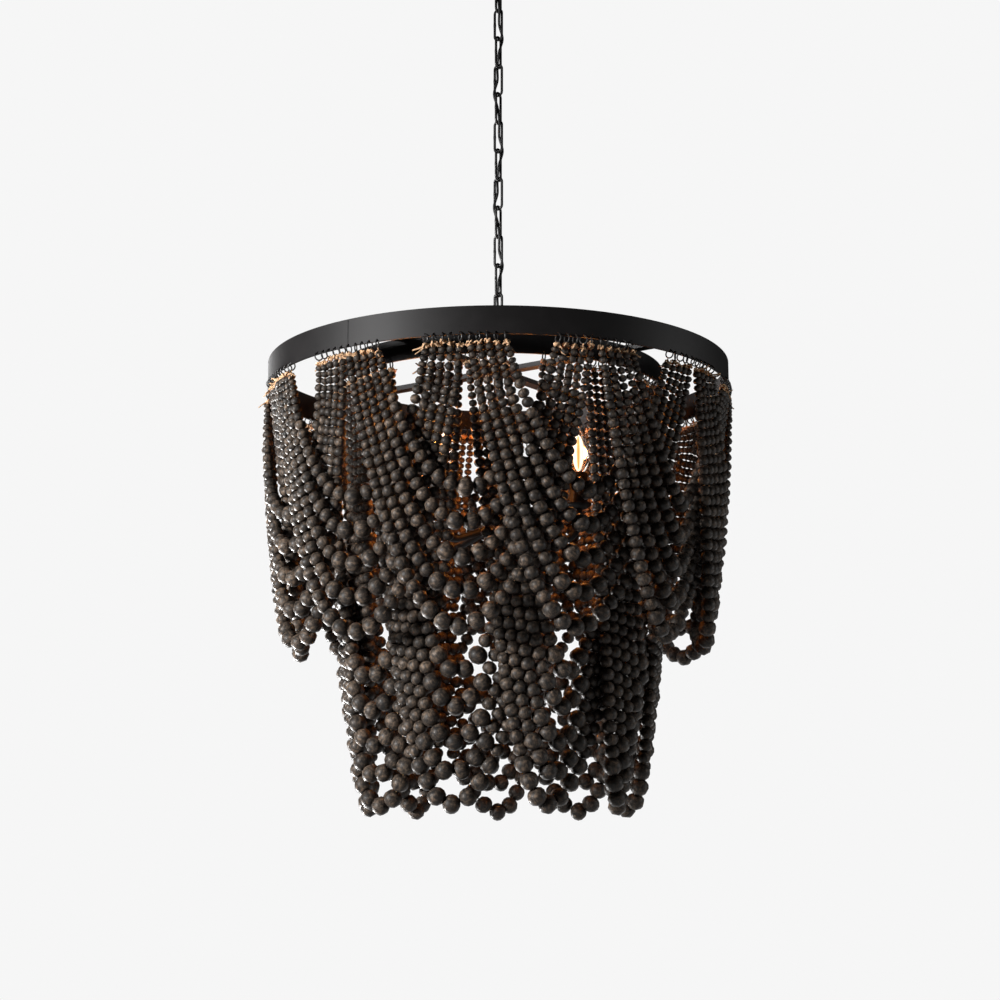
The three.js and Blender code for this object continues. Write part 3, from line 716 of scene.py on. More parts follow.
def cast_loop(name, node_name, body, eye, up, shank_end, collar, across_x):
    """Ring and neck joined in one piece; a turning drawn downwards is reversed to face out."""
    neck = turned(loop_parts(eye, up, shank_end, collar), 40)
    if up < 0:
        neck = (neck[0], *(faces[:, ::-1] for faces in neck[1:]))
    across = turned_about_z(np.array([0.0, 1.0, 0.0] if across_x else [1.0, 0.0, 0.0]), CHAIN_TURN)
    path = turned_about_z(eye_ring(eye, across_x), CHAIN_TURN)
    ring = carried(path, EYE_WIRE * MM, sides=16, across=across, loop=True)
    mesh = keep_edges_crisp(mesh_of(name, *joined(ring, neck)), 50)
    return place(name, mesh, chain_finish, body, [node_name])


cast_loop("canopy_eye", "canopy_loop", "ceiling_fitting", canopy_eye, 1, canopy_shank, False, True)
cast_loop("fixture_eye", "fixture_loop", "fixture", fixture_eye, -1, fixture_shank, True, False)
print("loops at", round(canopy_eye, 1), "and", round(fixture_eye, 1), "mm")

# %% [markdown]
# ## Hoops
# Both hoops are flat steel band on edge, rolled to a circle and welded. Near the bottom
# edge a small hole is drilled for every strand. A wall is a grid of azimuth and height.
# Round each hole, the four cells that meet there are replaced by eight quads that run to
# an octagon, on the outside, on the inside and as the wall of the hole.

# %% Where the strands are hooked
SWAG_TIERS = {
    "outer": {
        "count": 12, "first": -7.5, "pitch": 2.0, "radius": 305.0, "wall": 3.0, "hoop": "outer_hoop",
        "drops": [180, 221, 261, 301, 341], "weave": 10.5, "big": 22.6, "big_counts": [1, 2, 3, 4, 5],
    },
    "inner": {
        "count": 9, "first": -11.5, "pitch": 3.0, "radius": 217.75, "wall": 3.0, "hoop": "inner_hoop",
        "drops": [387, 428, 470, 507, 544], "weave": 12.0, "big": 23.6, "big_counts": [4, 5, 5, 6, 7],
    },
}
STRANDS = 5
HOLE_HEIGHT, HOLE_RADIUS = 2.4, 1.2
LOWER_BAND = 7.4


def half_angles(tier):
    """How far each strand's hooks lie from the middle of its swag, in degrees."""
    return 360 / tier["count"] - (STRANDS - np.arange(STRANDS) - 0.5) * tier["pitch"]


def hook_azimuths(tier):
    """The azimuths of all hooks of a tier, in degrees, in order round the hoop."""
    middles = tier["first"] + np.arange(tier["count"]) * 360 / tier["count"]
    both = np.concatenate([half_angles(tier), -half_angles(tier)])
    return np.sort((middles[:, None] + both[None]).ravel() % 360)


for name, tier in SWAG_TIERS.items():
    print(name, "hoop:", len(hook_azimuths(tier)), "hooks")


# %% Roll the hoops and drill them
def hoop_columns(tier, gap_step=2.5):
    """Edges of the cells round the hoop, and which cells have a hole: one cell of a pitch for
    each hook, and the gaps between clusters in cells of about gap_step degrees."""
    hooks = hook_azimuths(tier)
    ahead = np.roll(hooks, -1)
    ahead[-1] += 360
    gaps = ahead - hooks - tier["pitch"]
    extra = np.where(gaps > 0.01, np.maximum(1, np.round(gaps / gap_step)), 0).astype(int)
    starts = [hooks - tier["pitch"] / 2]
    drilled = [np.ones(len(hooks), bool)]
    for step in range(extra.max()):
        here = extra > step
        starts.append((hooks + tier["pitch"] / 2 + gaps * step / np.maximum(extra, 1))[here])
        drilled.append(np.zeros(here.sum(), bool))
    starts, drilled = np.concatenate(starts), np.concatenate(drilled)
    order = np.argsort(starts)
    return starts[order], drilled[order]


def on_cylinder(azimuth, height, radius):
    """Points at an azimuth from the front towards +X, in degrees, a height and a radius in mm."""
    angle = np.radians(azimuth)
    return np.stack([radius * np.sin(angle), -radius * np.cos(angle), height], -1) * MM


def drilled_hoop(tier):
    """Outer and inner wall as grids of half cells by height, with the octagons let in, and
    the top, bottom and hole walls between them."""
    starts, drilled = hoop_columns(tier)
    ends = np.append(starts[1:], starts[0] + 360)
    columns = np.stack([starts, (starts + ends) / 2], -1).ravel()
    bottom = hoop_bottom / MM
    high = heights_of(tier["hoop"])[1] - bottom
    heights = bottom + np.array([0.0, HOLE_HEIGHT, LOWER_BAND, (LOWER_BAND + high) / 2, high])
    rows, count = len(heights), len(columns)
    azimuth, height = np.meshgrid(columns, heights, indexing="xy")
    turn = (np.arange(8) - 3) * np.pi / 4
    hooks = ((starts + ends) / 2)[drilled]
    walls = []
    for radius in (tier["radius"], tier["radius"] - tier["wall"]):
        around = hooks[:, None] + np.degrees(HOLE_RADIUS * np.cos(turn) / radius)[None]
        level = np.broadcast_to(bottom + HOLE_HEIGHT + HOLE_RADIUS * np.sin(turn), around.shape)
        walls.append(on_cylinder(azimuth, height, radius).reshape(-1, 3))
        walls.append(on_cylinder(around, level, radius).reshape(-1, 3))
    quads = grid_faces(rows, count, wrap_columns=True)
    cell = np.arange(len(quads)).reshape(rows - 1, count)
    spot = np.flatnonzero(drilled) * 2
    gone = np.concatenate([cell[row][spot + half] for row in (0, 1) for half in (0, 1)])
    quads = np.delete(quads, gone, axis=0)
    left, middle, right = spot, spot + 1, (spot + 2) % count
    above, highest = count, 2 * count
    rim = [left, middle, right, right + above, right + highest, middle + highest, left + highest, left + above]
    rim = np.stack(rim, -1)
    octagon = rows * count + np.arange(len(spot) * 8).reshape(-1, 8)
    collar = np.stack([rim, np.roll(rim, -1, 1), np.roll(octagon, -1, 1), octagon], -1).reshape(-1, 4)
    outside = np.concatenate([quads, collar])
    shift = rows * count + len(spot) * 8
    inside = outside[:, ::-1] + shift
    edge = np.arange(count)
    ahead = (edge + 1) % count
    top_row = (rows - 1) * count
    floor = np.stack([edge, edge + shift, ahead + shift, ahead], -1)
    roof = np.stack([top_row + edge, top_row + ahead, top_row + ahead + shift, top_row + edge + shift], -1)
    hole = np.stack([octagon, np.roll(octagon, -1, 1), np.roll(octagon, -1, 1) + shift, octagon + shift], -1)
    return np.concatenate(walls), np.concatenate([outside, inside, floor, roof, hole.reshape(-1, 4)])


for name, tier in SWAG_TIERS.items():
    mesh = keep_edges_crisp(mesh_of(f"{name}_hoop_band", *drilled_hoop(tier)))
    finish = hoop_finish if name == "outer" else paint_finish
    place(mesh.name, mesh, finish, "fixture", [tier["hoop"]])
    print(mesh.name, len(mesh.polygons), "faces")

# %% [markdown]
# ## Swags of beads
# Five strands make a swag. Each hangs in a U between two hooks, heavier at the bottom, so
# its line is a superellipse: flatter than a catenary at the sides and pointed below. The
# left half passes outside its neighbours and the right half inside. Beads grow from 10 mm
# at the hooks to 22 mm and more at the bottom, and all of them are a little oblate.
# Six thousand beads are far too many for fine spheres, so each is a small turned grid with
# its drilled hole, of 40 or 56 faces, and every bead is placed by one array of frames.

# %% The line of a strand
SIDE_POWER, DROP_POWER, WEAVE_POWER = 1.9, 1.19, 0.6
TWIST, TWIST_POWER = -8.0, 2.5
DEEPEST = max(SWAG_TIERS["inner"]["drops"])
TOP_BEAD = 17.0
RING_BOTTOM = 7.6
LINE_SAMPLES = 800


def strand_half(tier, strand, top):
    """Right half of a strand in millimetres, from its bottom up to top below the hoop:
    x = c sin(t)^(2/p), z = -d cos(t)^(2/q), y off the chord by weave sin(pi x/c)^w."""
    angle = np.radians(half_angles(tier)[strand])
    hook_radius = tier["radius"] - tier["wall"] / 2
    chord, out = hook_radius * np.sin(angle), hook_radius * np.cos(angle)
    t = np.linspace(0, np.pi / 2, LINE_SAMPLES)
    across = np.sin(t) ** (2 / SIDE_POWER)
    depth = np.cos(t).clip(0, 1) ** (2 / DROP_POWER) * tier["drops"][strand]
    weave = tier["weave"] * np.sin(np.pi * across.clip(0, 1)) ** WEAVE_POWER
    line = np.stack([across * chord, weave, -depth], -1)
    return line[depth >= top], out


def both_halves(right, out, shared):
    """The left half mirrored across and to the other side of the chord, then the right; the
    shared middle points come once. The skirt hangs slightly twisted: its points turn about
    the axis by TWIST (depth / deepest)^TWIST_POWER."""
    left = right[shared:][::-1] * np.array([-1.0, -1.0, 1.0])
    both = np.concatenate([left, right]) + np.array([0.0, -out, 0.0])
    return turned_about_z(both, TWIST * (-both[:, 2].clip(None, 0) / DEEPEST) ** TWIST_POWER)


line, out = strand_half(SWAG_TIERS["outer"], 4, TOP_BEAD)
print("deepest outer strand: half of", round(float(np.linalg.norm(np.diff(line, axis=0), axis=1).sum())), "mm")


# %% String beads on a line
SIZES = np.array([18.6, 16.8, 15.0, 13.5, 12.1])
SIZE_SHARES = {
    "outer_hoop": np.array([0.23, 0.19, 0.17, 0.14, 0.11]),
    "inner_hoop": np.array([0.24, 0.21, 0.18, 0.15, 0.11]),
}
SMALL_BEAD, FLATNESS, BIG_FLATNESS = 10.5, 0.87, 0.93


def bead_row(tier, strand, half_length):
    """Diameters, thicknesses and places along half a strand, from its middle up. The big beads
    come first. The smaller sizes each take a share of the length that is left, and the
    smallest fill the rest. An odd count has a bead in the middle, an even one a joint."""
    count = tier["big_counts"][strand]
    middle = tier["big"] * BIG_FLATNESS / 2 if count % 2 else 0.0
    big = np.full((count + 1) // 2, tier["big"])
    left = half_length - len(big) * tier["big"] * BIG_FLATNESS + middle
    numbers = np.round(left * SIZE_SHARES[tier["hoop"]] / (SIZES * FLATNESS)).astype(int)
    graded = np.repeat(SIZES, numbers)
    left -= (graded * FLATNESS).sum()
    number = max(1, int(round(left / (SMALL_BEAD * FLATNESS) + 0.5)))
    wide = np.concatenate([big, graded, np.full(number, SMALL_BEAD)])
    last = np.full(number, left / (number - 0.5))
    thick = np.concatenate([big * BIG_FLATNESS, graded * FLATNESS, last])
    return wide, thick, np.cumsum(thick) - thick / 2 - middle


def along(line, places):
    """Points at the given lengths along a line, by linear steps between its samples."""
    length = np.concatenate([[0], np.cumsum(np.linalg.norm(np.diff(line, axis=0), axis=1))])
    return np.stack([np.interp(places, length, line[:, k]) for k in range(3)], -1)


def strand_beads(tier, strand):
    """Centres, diameters, thicknesses and axes of the beads of one whole strand."""
    right, out = strand_half(tier, strand, TOP_BEAD)
    half_length = np.linalg.norm(np.diff(right, axis=0), axis=1).sum()
    wide, thick, places = bead_row(tier, strand, half_length)
    shared = tier["big_counts"][strand] % 2
    centres = both_halves(along(right, places), out, shared)
    wide = np.concatenate([wide[shared:][::-1], wide])
    thick = np.concatenate([thick[shared:][::-1], thick])
    return centres, wide, thick, unit(np.gradient(centres, axis=0))


totals = {}
for name, tier in SWAG_TIERS.items():
    totals[name] = sum(len(strand_beads(tier, strand)[1]) for strand in range(STRANDS))
in_all = sum(totals[name] * tier["count"] for name, tier in SWAG_TIERS.items())
print("beads in one swag:", totals, "in all:", in_all)


# %% The bead itself, and thousands of them at once
def bead_shape(bands, segments=8, hole=0.16):
    """A unit bead about its hole: rings at angles a from the axis, (sin(a)^0.9, cos a), from rim
    to rim, and the hole's wall between the two rims. It is a little proud, so that its eight
    flats and corners lie round the true circle."""
    rim = np.arcsin(hole)
    polar = np.linspace(rim, np.pi - rim, bands + 1)
    turn = np.arange(segments) / segments * 2 * np.pi
    proud = 1.03
    x = np.outer(np.sin(polar) ** 0.9, np.cos(turn)) * proud
    y = np.outer(np.sin(polar) ** 0.9, np.sin(turn)) * proud
    z = np.broadcast_to(np.cos(polar)[:, None], x.shape)
    points = np.stack([x, y, z], -1).reshape(-1, 3)
    return points, grid_faces(bands + 1, segments, wrap_rows=True, wrap_columns=True)[:, ::-1]


def many_beads(shape, centres, wide, thick, axes, roll, seeds):
    """The unit bead at every place: centre + wide/2 (x u + y v) + thick/2 z a. Its own
    coordinates, moved by a seed, become the grain's."""
    points, faces = shape
    side = unit(np.cross(axes, [0.0, 1.0, 0.0]))
    lift = np.cross(axes, side)
    u = np.cos(roll)[:, None] * side + np.sin(roll)[:, None] * lift
    v = np.cross(axes, u)
    scaled = points[None] * np.stack([wide, wide, thick], -1)[:, None] / 2
    frames = np.stack([u, v, axes], 1)
    placed = centres[:, None] + np.einsum("npk,nkj->npj", scaled, frames)
    every = faces[None] + (np.arange(len(centres)) * len(points))[:, None, None]
    grain = scaled * MM + seeds[:, None]
    return placed.reshape(-1, 3), every.reshape(-1, 4), grain.reshape(-1, 3)


SMALL_SHAPE, LARGE_SHAPE = bead_shape(4), bead_shape(6, hole=0.12)
LARGE_FROM = 13.0
print("faces of a bead:", len(SMALL_SHAPE[1]), "and", len(LARGE_SHAPE[1]))


# %% Make the swags
SIZE_SPREAD, PLACE_SPREAD, TILT_SPREAD = 0.022, 0.3, 0.06
SLIDE_SPREAD, SLIDE_DEPTH = 1.1, 40.0


def hung(points, tier, index):
    """Points of the front swag, in millimetres under the hoop's edge, as points in metres of
    the swag with this index."""
    azimuth = tier["first"] + index * 360 / tier["count"]
    return turned_about_z(points, azimuth) * MM + np.array([0.0, 0.0, hoop_bottom])


def swag_mesh(name, tier, index, rng):
    """All beads of a swag as one mesh, turned to its azimuth, with grain and tint on it. Sizes,
    places and tilts differ by chance. Both arms of a strand hang a little high or low at the
    hoop, by a slide that fades with depth as exp(-depth / SLIDE_DEPTH)."""
    rows = [strand_beads(tier, strand) for strand in range(STRANDS)]
    centres, wide, thick, axes = (np.concatenate([row[k] for row in rows]) for k in range(4))
    count = len(centres)
    wide = wide * rng.normal(1.0, SIZE_SPREAD, count).clip(0.94, 1.06)
    centres = centres + rng.normal(0.0, PLACE_SPREAD, (count, 3))
    numbers = [len(row[0]) for row in rows]
    on_left = np.concatenate([np.arange(number) < number / 2 for number in numbers])
    arms = on_left + 2 * np.repeat(np.arange(STRANDS), numbers)
    slide = rng.normal(0.0, SLIDE_SPREAD, 2 * STRANDS)[arms] * np.exp(centres[:, 2] / SLIDE_DEPTH)
    centres = centres + slide[:, None] * np.array([0.0, 0.0, 1.0])
    axes = unit(axes + rng.normal(0.0, TILT_SPREAD, (count, 3)))
    roll, seeds = rng.uniform(0, 2 * np.pi, count), rng.uniform(-1, 1, (count, 3))
    tint = rng.beta(2.0, 2.6, count) * 0.8 + 0.2 * (wide > LARGE_FROM)
    parts, grains, tints = [], [], []
    for shape, chosen in ((SMALL_SHAPE, wide < LARGE_FROM), (LARGE_SHAPE, wide >= LARGE_FROM)):
        points, quads, grain = many_beads(
            shape, centres[chosen], wide[chosen], thick[chosen], axes[chosen], roll[chosen], seeds[chosen]
        )
        parts.append((points, quads, np.zeros((0, 3), int)))
        grains.append(grain)
        tints.append(np.repeat(tint[chosen], len(shape[0])))
    points, quads, _ = joined(*parts)
    mesh = mesh_of(name, hung(points, tier, index), quads)
    grain = mesh.attributes.new("grain", "FLOAT_VECTOR", "POINT")
    grain.data.foreach_set("vector", np.concatenate(grains).ravel())
    mesh.attributes.new("tint", "FLOAT", "POINT").data.foreach_set("value", np.concatenate(tints))
    return mesh


for tier_name, tier in SWAG_TIERS.items():
    for index in range(tier["count"]):
        rng = np.random.default_rng([len(tier_name), tier["count"], index])
        node_name = f"{tier_name}_swag_{index + 1:02d}"
        mesh = swag_mesh(f"{node_name}_beads", tier, index, rng)
        place(mesh.name, mesh, bead_finish, f"{node_name}_body", [node_name])
    print(tier_name, "swags:", tier["count"], "of", len(mesh.polygons), "faces")

# %% [markdown]
# ## Jump rings, strings and knots
# A black jump ring hangs in every hole, and the strand's jute string is knotted to it. The
# ring passes through the hole and round the band's edge, so it stands in a plane through
# the lamp's axis. The knot is a flat trefoil of string, and its frayed ends stick out.

# %% Hang a ring in every hole
RING_RADIUS, RING_WIRE = 5.0, 0.95
RING_STEPS, RING_SIDES = 12, 5
RING_SWING = 24.0


def jump_rings(tier, rng):
    """Circles in the plane of the axis and each hook, each turned a little by chance."""
    hooks = hook_azimuths(tier)
    count = len(hooks)
    turn = np.arange(RING_STEPS) / RING_STEPS * 2 * np.pi
    swing = np.radians(rng.normal(0, RING_SWING, count))[:, None]
    outward = RING_RADIUS * np.cos(turn)[None] * np.cos(swing)
    sideways = RING_RADIUS * np.cos(turn)[None] * np.sin(swing)
    height = np.broadcast_to(HOLE_HEIGHT - RING_RADIUS + RING_RADIUS * np.sin(turn)[None], outward.shape)
    hook_radius = tier["radius"] - tier["wall"] / 2
    local = np.stack([sideways, -hook_radius - outward, height], -1)
    paths = turned_about_z(local, hooks[:, None]) * MM + np.array([0.0, 0.0, hoop_bottom])
    tangential = turned_about_z(np.tile([1.0, 0.0, 0.0], (count, 1, 1)), hooks[:, None])
    return carried(paths, RING_WIRE * MM, RING_SIDES, tangential, loop=True)


for tier_name, tier in SWAG_TIERS.items():
    mesh = mesh_of(f"{tier_name}_jump_rings", *jump_rings(tier, np.random.default_rng(tier["count"])))
    place(mesh.name, mesh, ring_finish, "fixture")
    print(mesh.name, len(mesh.polygons), "faces")

# %% Knot the strings and fray their ends
STRING_RADIUS, STRING_STEPS = 0.75, 48
KNOT_MIDDLE, KNOT_SIZE, KNOT_STRING = 11.2, 2.8, 1.35
KNOT_STEPS, TAIL_STEPS, TAILS = 15, 5, 3
KNOT_LIFT, KNOT_TILT = 1.7, 0.6
TAIL_THICK, TAIL_THIN, TAIL_OUT, TAIL_CURL = 1.4, 0.9, 0.7, 0.45


def knot_paths(hooks, rng):
    """A trefoil at each hook: x = r (sin t + 2 sin 2t), y = r (cos t - 2 cos 2t), z = -r sin 3t,
    each with its own share, turned and moved up or down by chance."""
    t = np.arange(KNOT_STEPS) / KNOT_STEPS * 2 * np.pi
    size = KNOT_SIZE * rng.uniform(0.85, 1.2, len(hooks))[:, None]
    tilt = rng.normal(0, KNOT_TILT, len(hooks))[:, None]
    x = size * (np.sin(t) + 2 * np.sin(2 * t)) / 1.9
    y = size * (np.cos(t) - 2 * np.cos(2 * t)) / 2.6
    z = size * -0.95 * np.sin(3 * t)
    local = np.stack([x * np.cos(tilt) - z * np.sin(tilt), y, x * np.sin(tilt) + z * np.cos(tilt)], -1)
    lift = rng.normal(0, KNOT_LIFT, (len(hooks), 1, 1)) * np.array([0.0, 0.0, 1.0])
    return hooks[:, None] + local + lift + np.array([0.0, 0.0, -KNOT_MIDDLE])


def tail_paths(hooks, rng):
    """Frayed ends: a tuft leaves each knot sideways, and each end in it curls by chance, as a
    parabola. Those of the first strand, at the ends of a row of knots, are long and hang down."""
    starts = np.repeat(hooks, TAILS, axis=0) + np.array([0.0, 0.0, -KNOT_MIDDLE])
    count = len(starts)
    at_end = np.repeat(np.arange(len(hooks)) % STRANDS == 0, TAILS)
    heading = np.repeat(rng.uniform(0, 2 * np.pi, len(hooks)), TAILS) + rng.normal(0, 0.4, count)
    rise = rng.normal(np.where(at_end, -0.9, -0.2), 0.5)
    way = unit(np.stack([1.3 * np.cos(heading), np.sin(heading) - TAIL_OUT, rise], -1))
    curl = unit(rng.normal(0, 1, (count, 3)))
    length = (rng.gamma(6.0, 1.0, count) * np.where(at_end, 2.2, 1.0)).clip(3.0, 15.0)[:, None]
    t = np.linspace(0, 1, TAIL_STEPS)[None, :, None]
    return starts[:, None] + length[:, None] * (t * way[:, None] + TAIL_CURL * t**2 * curl[:, None])


def string_paths(tier):
    """The string of every strand of a swag, from ring to ring through its beads."""
    paths = []
    for strand in range(STRANDS):
        right, out = strand_half(tier, strand, RING_BOTTOM)
        length = np.linalg.norm(np.diff(right, axis=0), axis=1).sum()
        paths.append(both_halves(along(right, np.linspace(0, length, STRING_STEPS)), out, 1))
    return np.stack(paths)


def strings_and_knots(tier, index, rng):
    """Strings, knots and tails of one swag as one set of points and faces."""
    strings = string_paths(tier)
    hooks = np.concatenate([strings[:, 0], strings[:, -1]]) + np.array([0.0, 0.0, RING_BOTTOM])
    knots, tails = knot_paths(hooks, rng), tail_paths(hooks, rng)
    thin = np.linspace(TAIL_THICK, TAIL_THIN, TAIL_STEPS)[None] * rng.uniform(0.75, 1.2, len(tails))[:, None]
    points, quads, triangles = joined(
        carried(strings, STRING_RADIUS, 4, [0.0, 1.0, 0.0]),
        carried(knots, KNOT_STRING, 4, [0.0, 0.3, 1.0], loop=True),
        carried(tails, thin, 3, [0.3, 0.2, 1.0]),
    )
    return hung(points, tier, index), quads, triangles


for tier_name, tier in SWAG_TIERS.items():
    for index in range(tier["count"]):
        rng = np.random.default_rng([7, tier["count"], index])
        node_name = f"{tier_name}_swag_{index + 1:02d}"
        mesh = mesh_of(f"{node_name}_strings", *strings_and_knots(tier, index, rng))
        place(mesh.name, mesh, fibre_finish, f"{node_name}_body")
    print(tier_name, "strings and knots:", len(mesh.polygons), "faces each")

# %% [markdown]
# ## Hub, stem and light cluster
# Under the crossed bars a tube carries a turned hub with four arms. Each arm dips and
# comes up under a candle socket. These are all smooth turnings and bent tube in the same
# black paint, hidden behind the beads from most sides.

# %% Turn the hub bell, stem, arm hub and finial
LATHE = 64
STEM_RADIUS, STEM_SEAT = 6.35, 9.7
DRUM_RADIUS, DRUM_HEIGHT = 19.0, 30.0
KNOB_RADIUS = 10.0


def outline(shares, radius, low, high):
    """A profile from shares of a radius and of the height between low and high."""
    return [(radius * across, low + (high - low) * up) for across, up in shares]


def spline(profile, steps=6):
    """A smooth curve through a profile's points, with its two ends kept."""
    points = np.array([(x, 0.0, z) for x, z in profile])
    return [tuple(point) for point in smooth_path(points, (len(points) - 1) * steps)[:, [0, 2]]]


def place_turned(name, profile, node_name, centre=(0.0, 0.0, 0.0)):
    """A painted turned piece that stands for a CAD node of the fixture."""
    mesh = keep_edges_crisp(mesh_of(name, *turned(profile, LATHE, centre)), 40)
    return place(name, mesh, paint_finish, "fixture", [node_name])


low, high = heights_of("hub")
flare = spline([(20.6, low + 5.2), (15.4, low + 8.6), (12.1, low + 14), (11, low + 22)])
bell = [(BORE, low), (21.6, low), (22, low + 0.4), (22, low + 4.4), (21.4, low + 5.0), *flare]
bell += [(11, high - 5), (13.2, high - 3.4), (13.2, high - 0.5), (12.7, high), (BORE, high), (BORE, low)]
place_turned("hub_bell", bell, "hub")

low, high = heights_of("stem_tube")
tube = [(BORE, low), (STEM_RADIUS - 0.4, low), (STEM_RADIUS, low + 0.4), (STEM_RADIUS, high - 0.4)]
tube += [(STEM_RADIUS - 0.4, high), (BORE, high), (BORE, low)]
place_turned("stem", tube, "stem_tube")

low, high = heights_of("arm_hub")
drum = [(0, low), (14, low), (16.6, low + 1.4), (18.4, low + 3.4), (DRUM_RADIUS, low + 6)]
drum += [(DRUM_RADIUS, high - 6), (18.4, high - 3.4), (16.6, high - 1.4), (14, high)]
drum += [(STEM_RADIUS + FIT, high), (STEM_RADIUS + FIT, high - STEM_SEAT), (0, high - STEM_SEAT)]
place_turned("arm_drum", drum, "arm_hub")

low, high = heights_of("finial")
shares = [(0, 0), (0.3, 0.02), (0.72, 0.18), (1, 0.45), (0.74, 0.72), (0.46, 0.84), (0.6, 0.97)]
knob = spline(outline(shares, KNOB_RADIUS, low, high), 5) + [(6, high), (0, high)]
place_turned("finial_knob", knob, "finial")
print("hub, stem, drum and finial turned")

# %% Bend the arms and turn the sockets and bulbs
ARM_RADIUS, ARM_DIP, ARM_SEAT, ARM_LEVEL = 4.8, 22.0, 6.0, 0.45
CUP_HEIGHT, SLEEVE_RADIUS = 7.0, 12.0
SOCKET_BORE, SOCKET_DEPTH = 7.1, 19.3
GLASS_RADIUS, GLASS_START = 14.5, 19.0
CAP_LENGTH, THREAD_PITCH = 18.8, 2.6
CIRCLE = 126.0
FIRST_LIGHT = 54.5
arm_height = heights_of("arm_hub")[0] + DRUM_HEIGHT * ARM_LEVEL
socket_low, socket_high = heights_of("lamp_socket_1")
bulb_low, bulb_high = heights_of("bulb_1")


def arm_path():
    """The route of an arm at the front: level from the hub, a dip, and up under the socket."""
    start = DRUM_RADIUS - ARM_SEAT + FIT
    reach = CIRCLE - start
    points = [(0, -start, arm_height), (0, -DRUM_RADIUS - ARM_RADIUS, arm_height)]
    for out_share, down_share in [(0.45, 0.6), (0.78, 1.0), (0.96, 0.55)]:
        points.append((0, -(start + reach * out_share), arm_height - ARM_DIP * down_share))
    points += [(0, -CIRCLE, socket_low - 2 * ARM_RADIUS), (0, -CIRCLE, socket_low - FIT)]
    return smooth_path(np.array(points, float), 48)


def socket_profile():
    """Drip cup with a rolled lip, and a candle sleeve with the bulb's bore."""
    cup_top = socket_low + CUP_HEIGHT
    floor = socket_high - SOCKET_DEPTH
    profile = [(0, socket_low), (8.6, socket_low), (9, socket_low + 0.3), (13.4, socket_low + 2.0)]
    profile += [(16.2, cup_top - 2.4), (17, cup_top - 0.7), (16.7, cup_top), (15.9, cup_top)]
    profile += [(15, cup_top - 1.2), (SLEEVE_RADIUS, cup_top - 1.6), (SLEEVE_RADIUS, socket_high - 0.5)]
    profile += [(SLEEVE_RADIUS - 0.4, socket_high), (SOCKET_BORE, socket_high)]
    return profile + [(SOCKET_BORE, floor), (0, floor)]


def glass_profile():
    """The flame shape of the glass, from its neck to its tip."""
    base = bulb_low + GLASS_START
    shares = [(0.58, 0), (0.66, 0.04), (0.82, 0.12), (1, 0.3), (0.93, 0.5)]
    shares += [(0.66, 0.72), (0.36, 0.88), (0.14, 0.97), (0, 1)]
    flame = spline(outline(shares, GLASS_RADIUS, base, bulb_high), 5)
    return [(0, base + 0.2), (7.6, base + 0.2), *flame]


def cap_profile():
    """A screw cap: shallow waves of radius r = 6.3 + 0.3 cos(turns) up its height."""
    height = np.linspace(bulb_low + 3, bulb_low + CAP_LENGTH - 0.2, 40)
    wave = 6.3 + 0.3 * np.cos((height - height[0]) / THREAD_PITCH * 2 * np.pi)
    foot = [(0, bulb_low), (3, bulb_low), (3.4, bulb_low + 1), (5.6, bulb_low + 2.6)]
    return [*foot, *zip(wave, height), (0, bulb_low + CAP_LENGTH)]


def over_light(light, height=0.0):
    """The point over or under a light's middle, at a height in millimetres."""
    return on_cylinder(np.array(FIRST_LIGHT + 90 * light), np.array(height), CIRCLE)


for light in range(LIGHTS):
    azimuth = FIRST_LIGHT + 90 * light
    number, centre, body = light + 1, over_light(light), f"bulb_{light + 1}_body"
    path = turned_about_z(arm_path(), azimuth) * MM
    sideways = turned_about_z(np.array([1.0, 0.0, 0.0]), azimuth)
    mesh = mesh_of(f"arm_{number}", *carried(path, ARM_RADIUS * MM, sides=20, across=sideways))
    place(mesh.name, keep_edges_crisp(mesh, 60), paint_finish, "fixture", [f"lamp_arm_{number}"])
    place_turned(f"candle_socket_{number}", socket_profile(), f"lamp_socket_{number}", centre=centre)
    mesh = mesh_of(f"bulb_glass_{number}", *turned(glass_profile(), 40, centre))
    glass = place(mesh.name, mesh, glass_finish, body, [f"bulb_{number}"])
    mesh = mesh_of(f"bulb_cap_{number}", *turned(cap_profile(), 40, centre))
    place(mesh.name, mesh, cap_finish, body)
    glass.visible_shadow = False
print("arms, sockets and bulbs:", LIGHTS, "of each; bulb tips at", round(bulb_high, 1), "mm")

# %% [markdown]
# ## Filaments
# A clear candle bulb shows its hot wires as orange lines in a white glow. They form a slim
# cage on the cap, so one turned spindle with four stripes stands for wires and glow. Its
# stripes are an attribute that is one at the wires and falls off between them.

# %% Turn the glowing cages
WIRES = 4
CAGE_RADIUS, CAGE_START, CAGE_UNDER_TIP = 6.6, 20.5, 12.0


def spindle_profile():
    """A slim spindle from the cap up: radius R sin(pi h)^0.6 over its height share h."""
    share = np.linspace(0, 1, 13)
    base, top = bulb_low + CAGE_START, bulb_high - CAGE_UNDER_TIP
    return list(zip(CAGE_RADIUS * np.sin(np.pi * share) ** 0.6, base + (top - base) * share))


for light in range(LIGHTS):
    centre = over_light(light)
    mesh = mesh_of(f"filament_{light + 1}", *turned(spindle_profile(), 32, centre))
    points = np.empty(3 * len(mesh.vertices), np.float32)
    mesh.vertices.foreach_get("co", points)
    points = points.reshape(-1, 3) - centre
    wires = np.cos(WIRES / 2 * np.arctan2(points[:, 0], -points[:, 1])) ** 2
    mesh.attributes.new("wires", "FLOAT", "POINT").data.foreach_set("value", wires.astype(np.float32))
    cage = place(mesh.name, mesh, filament_finish, f"bulb_{light + 1}_body")
    cage.visible_shadow = False
print("filaments:", LIGHTS)

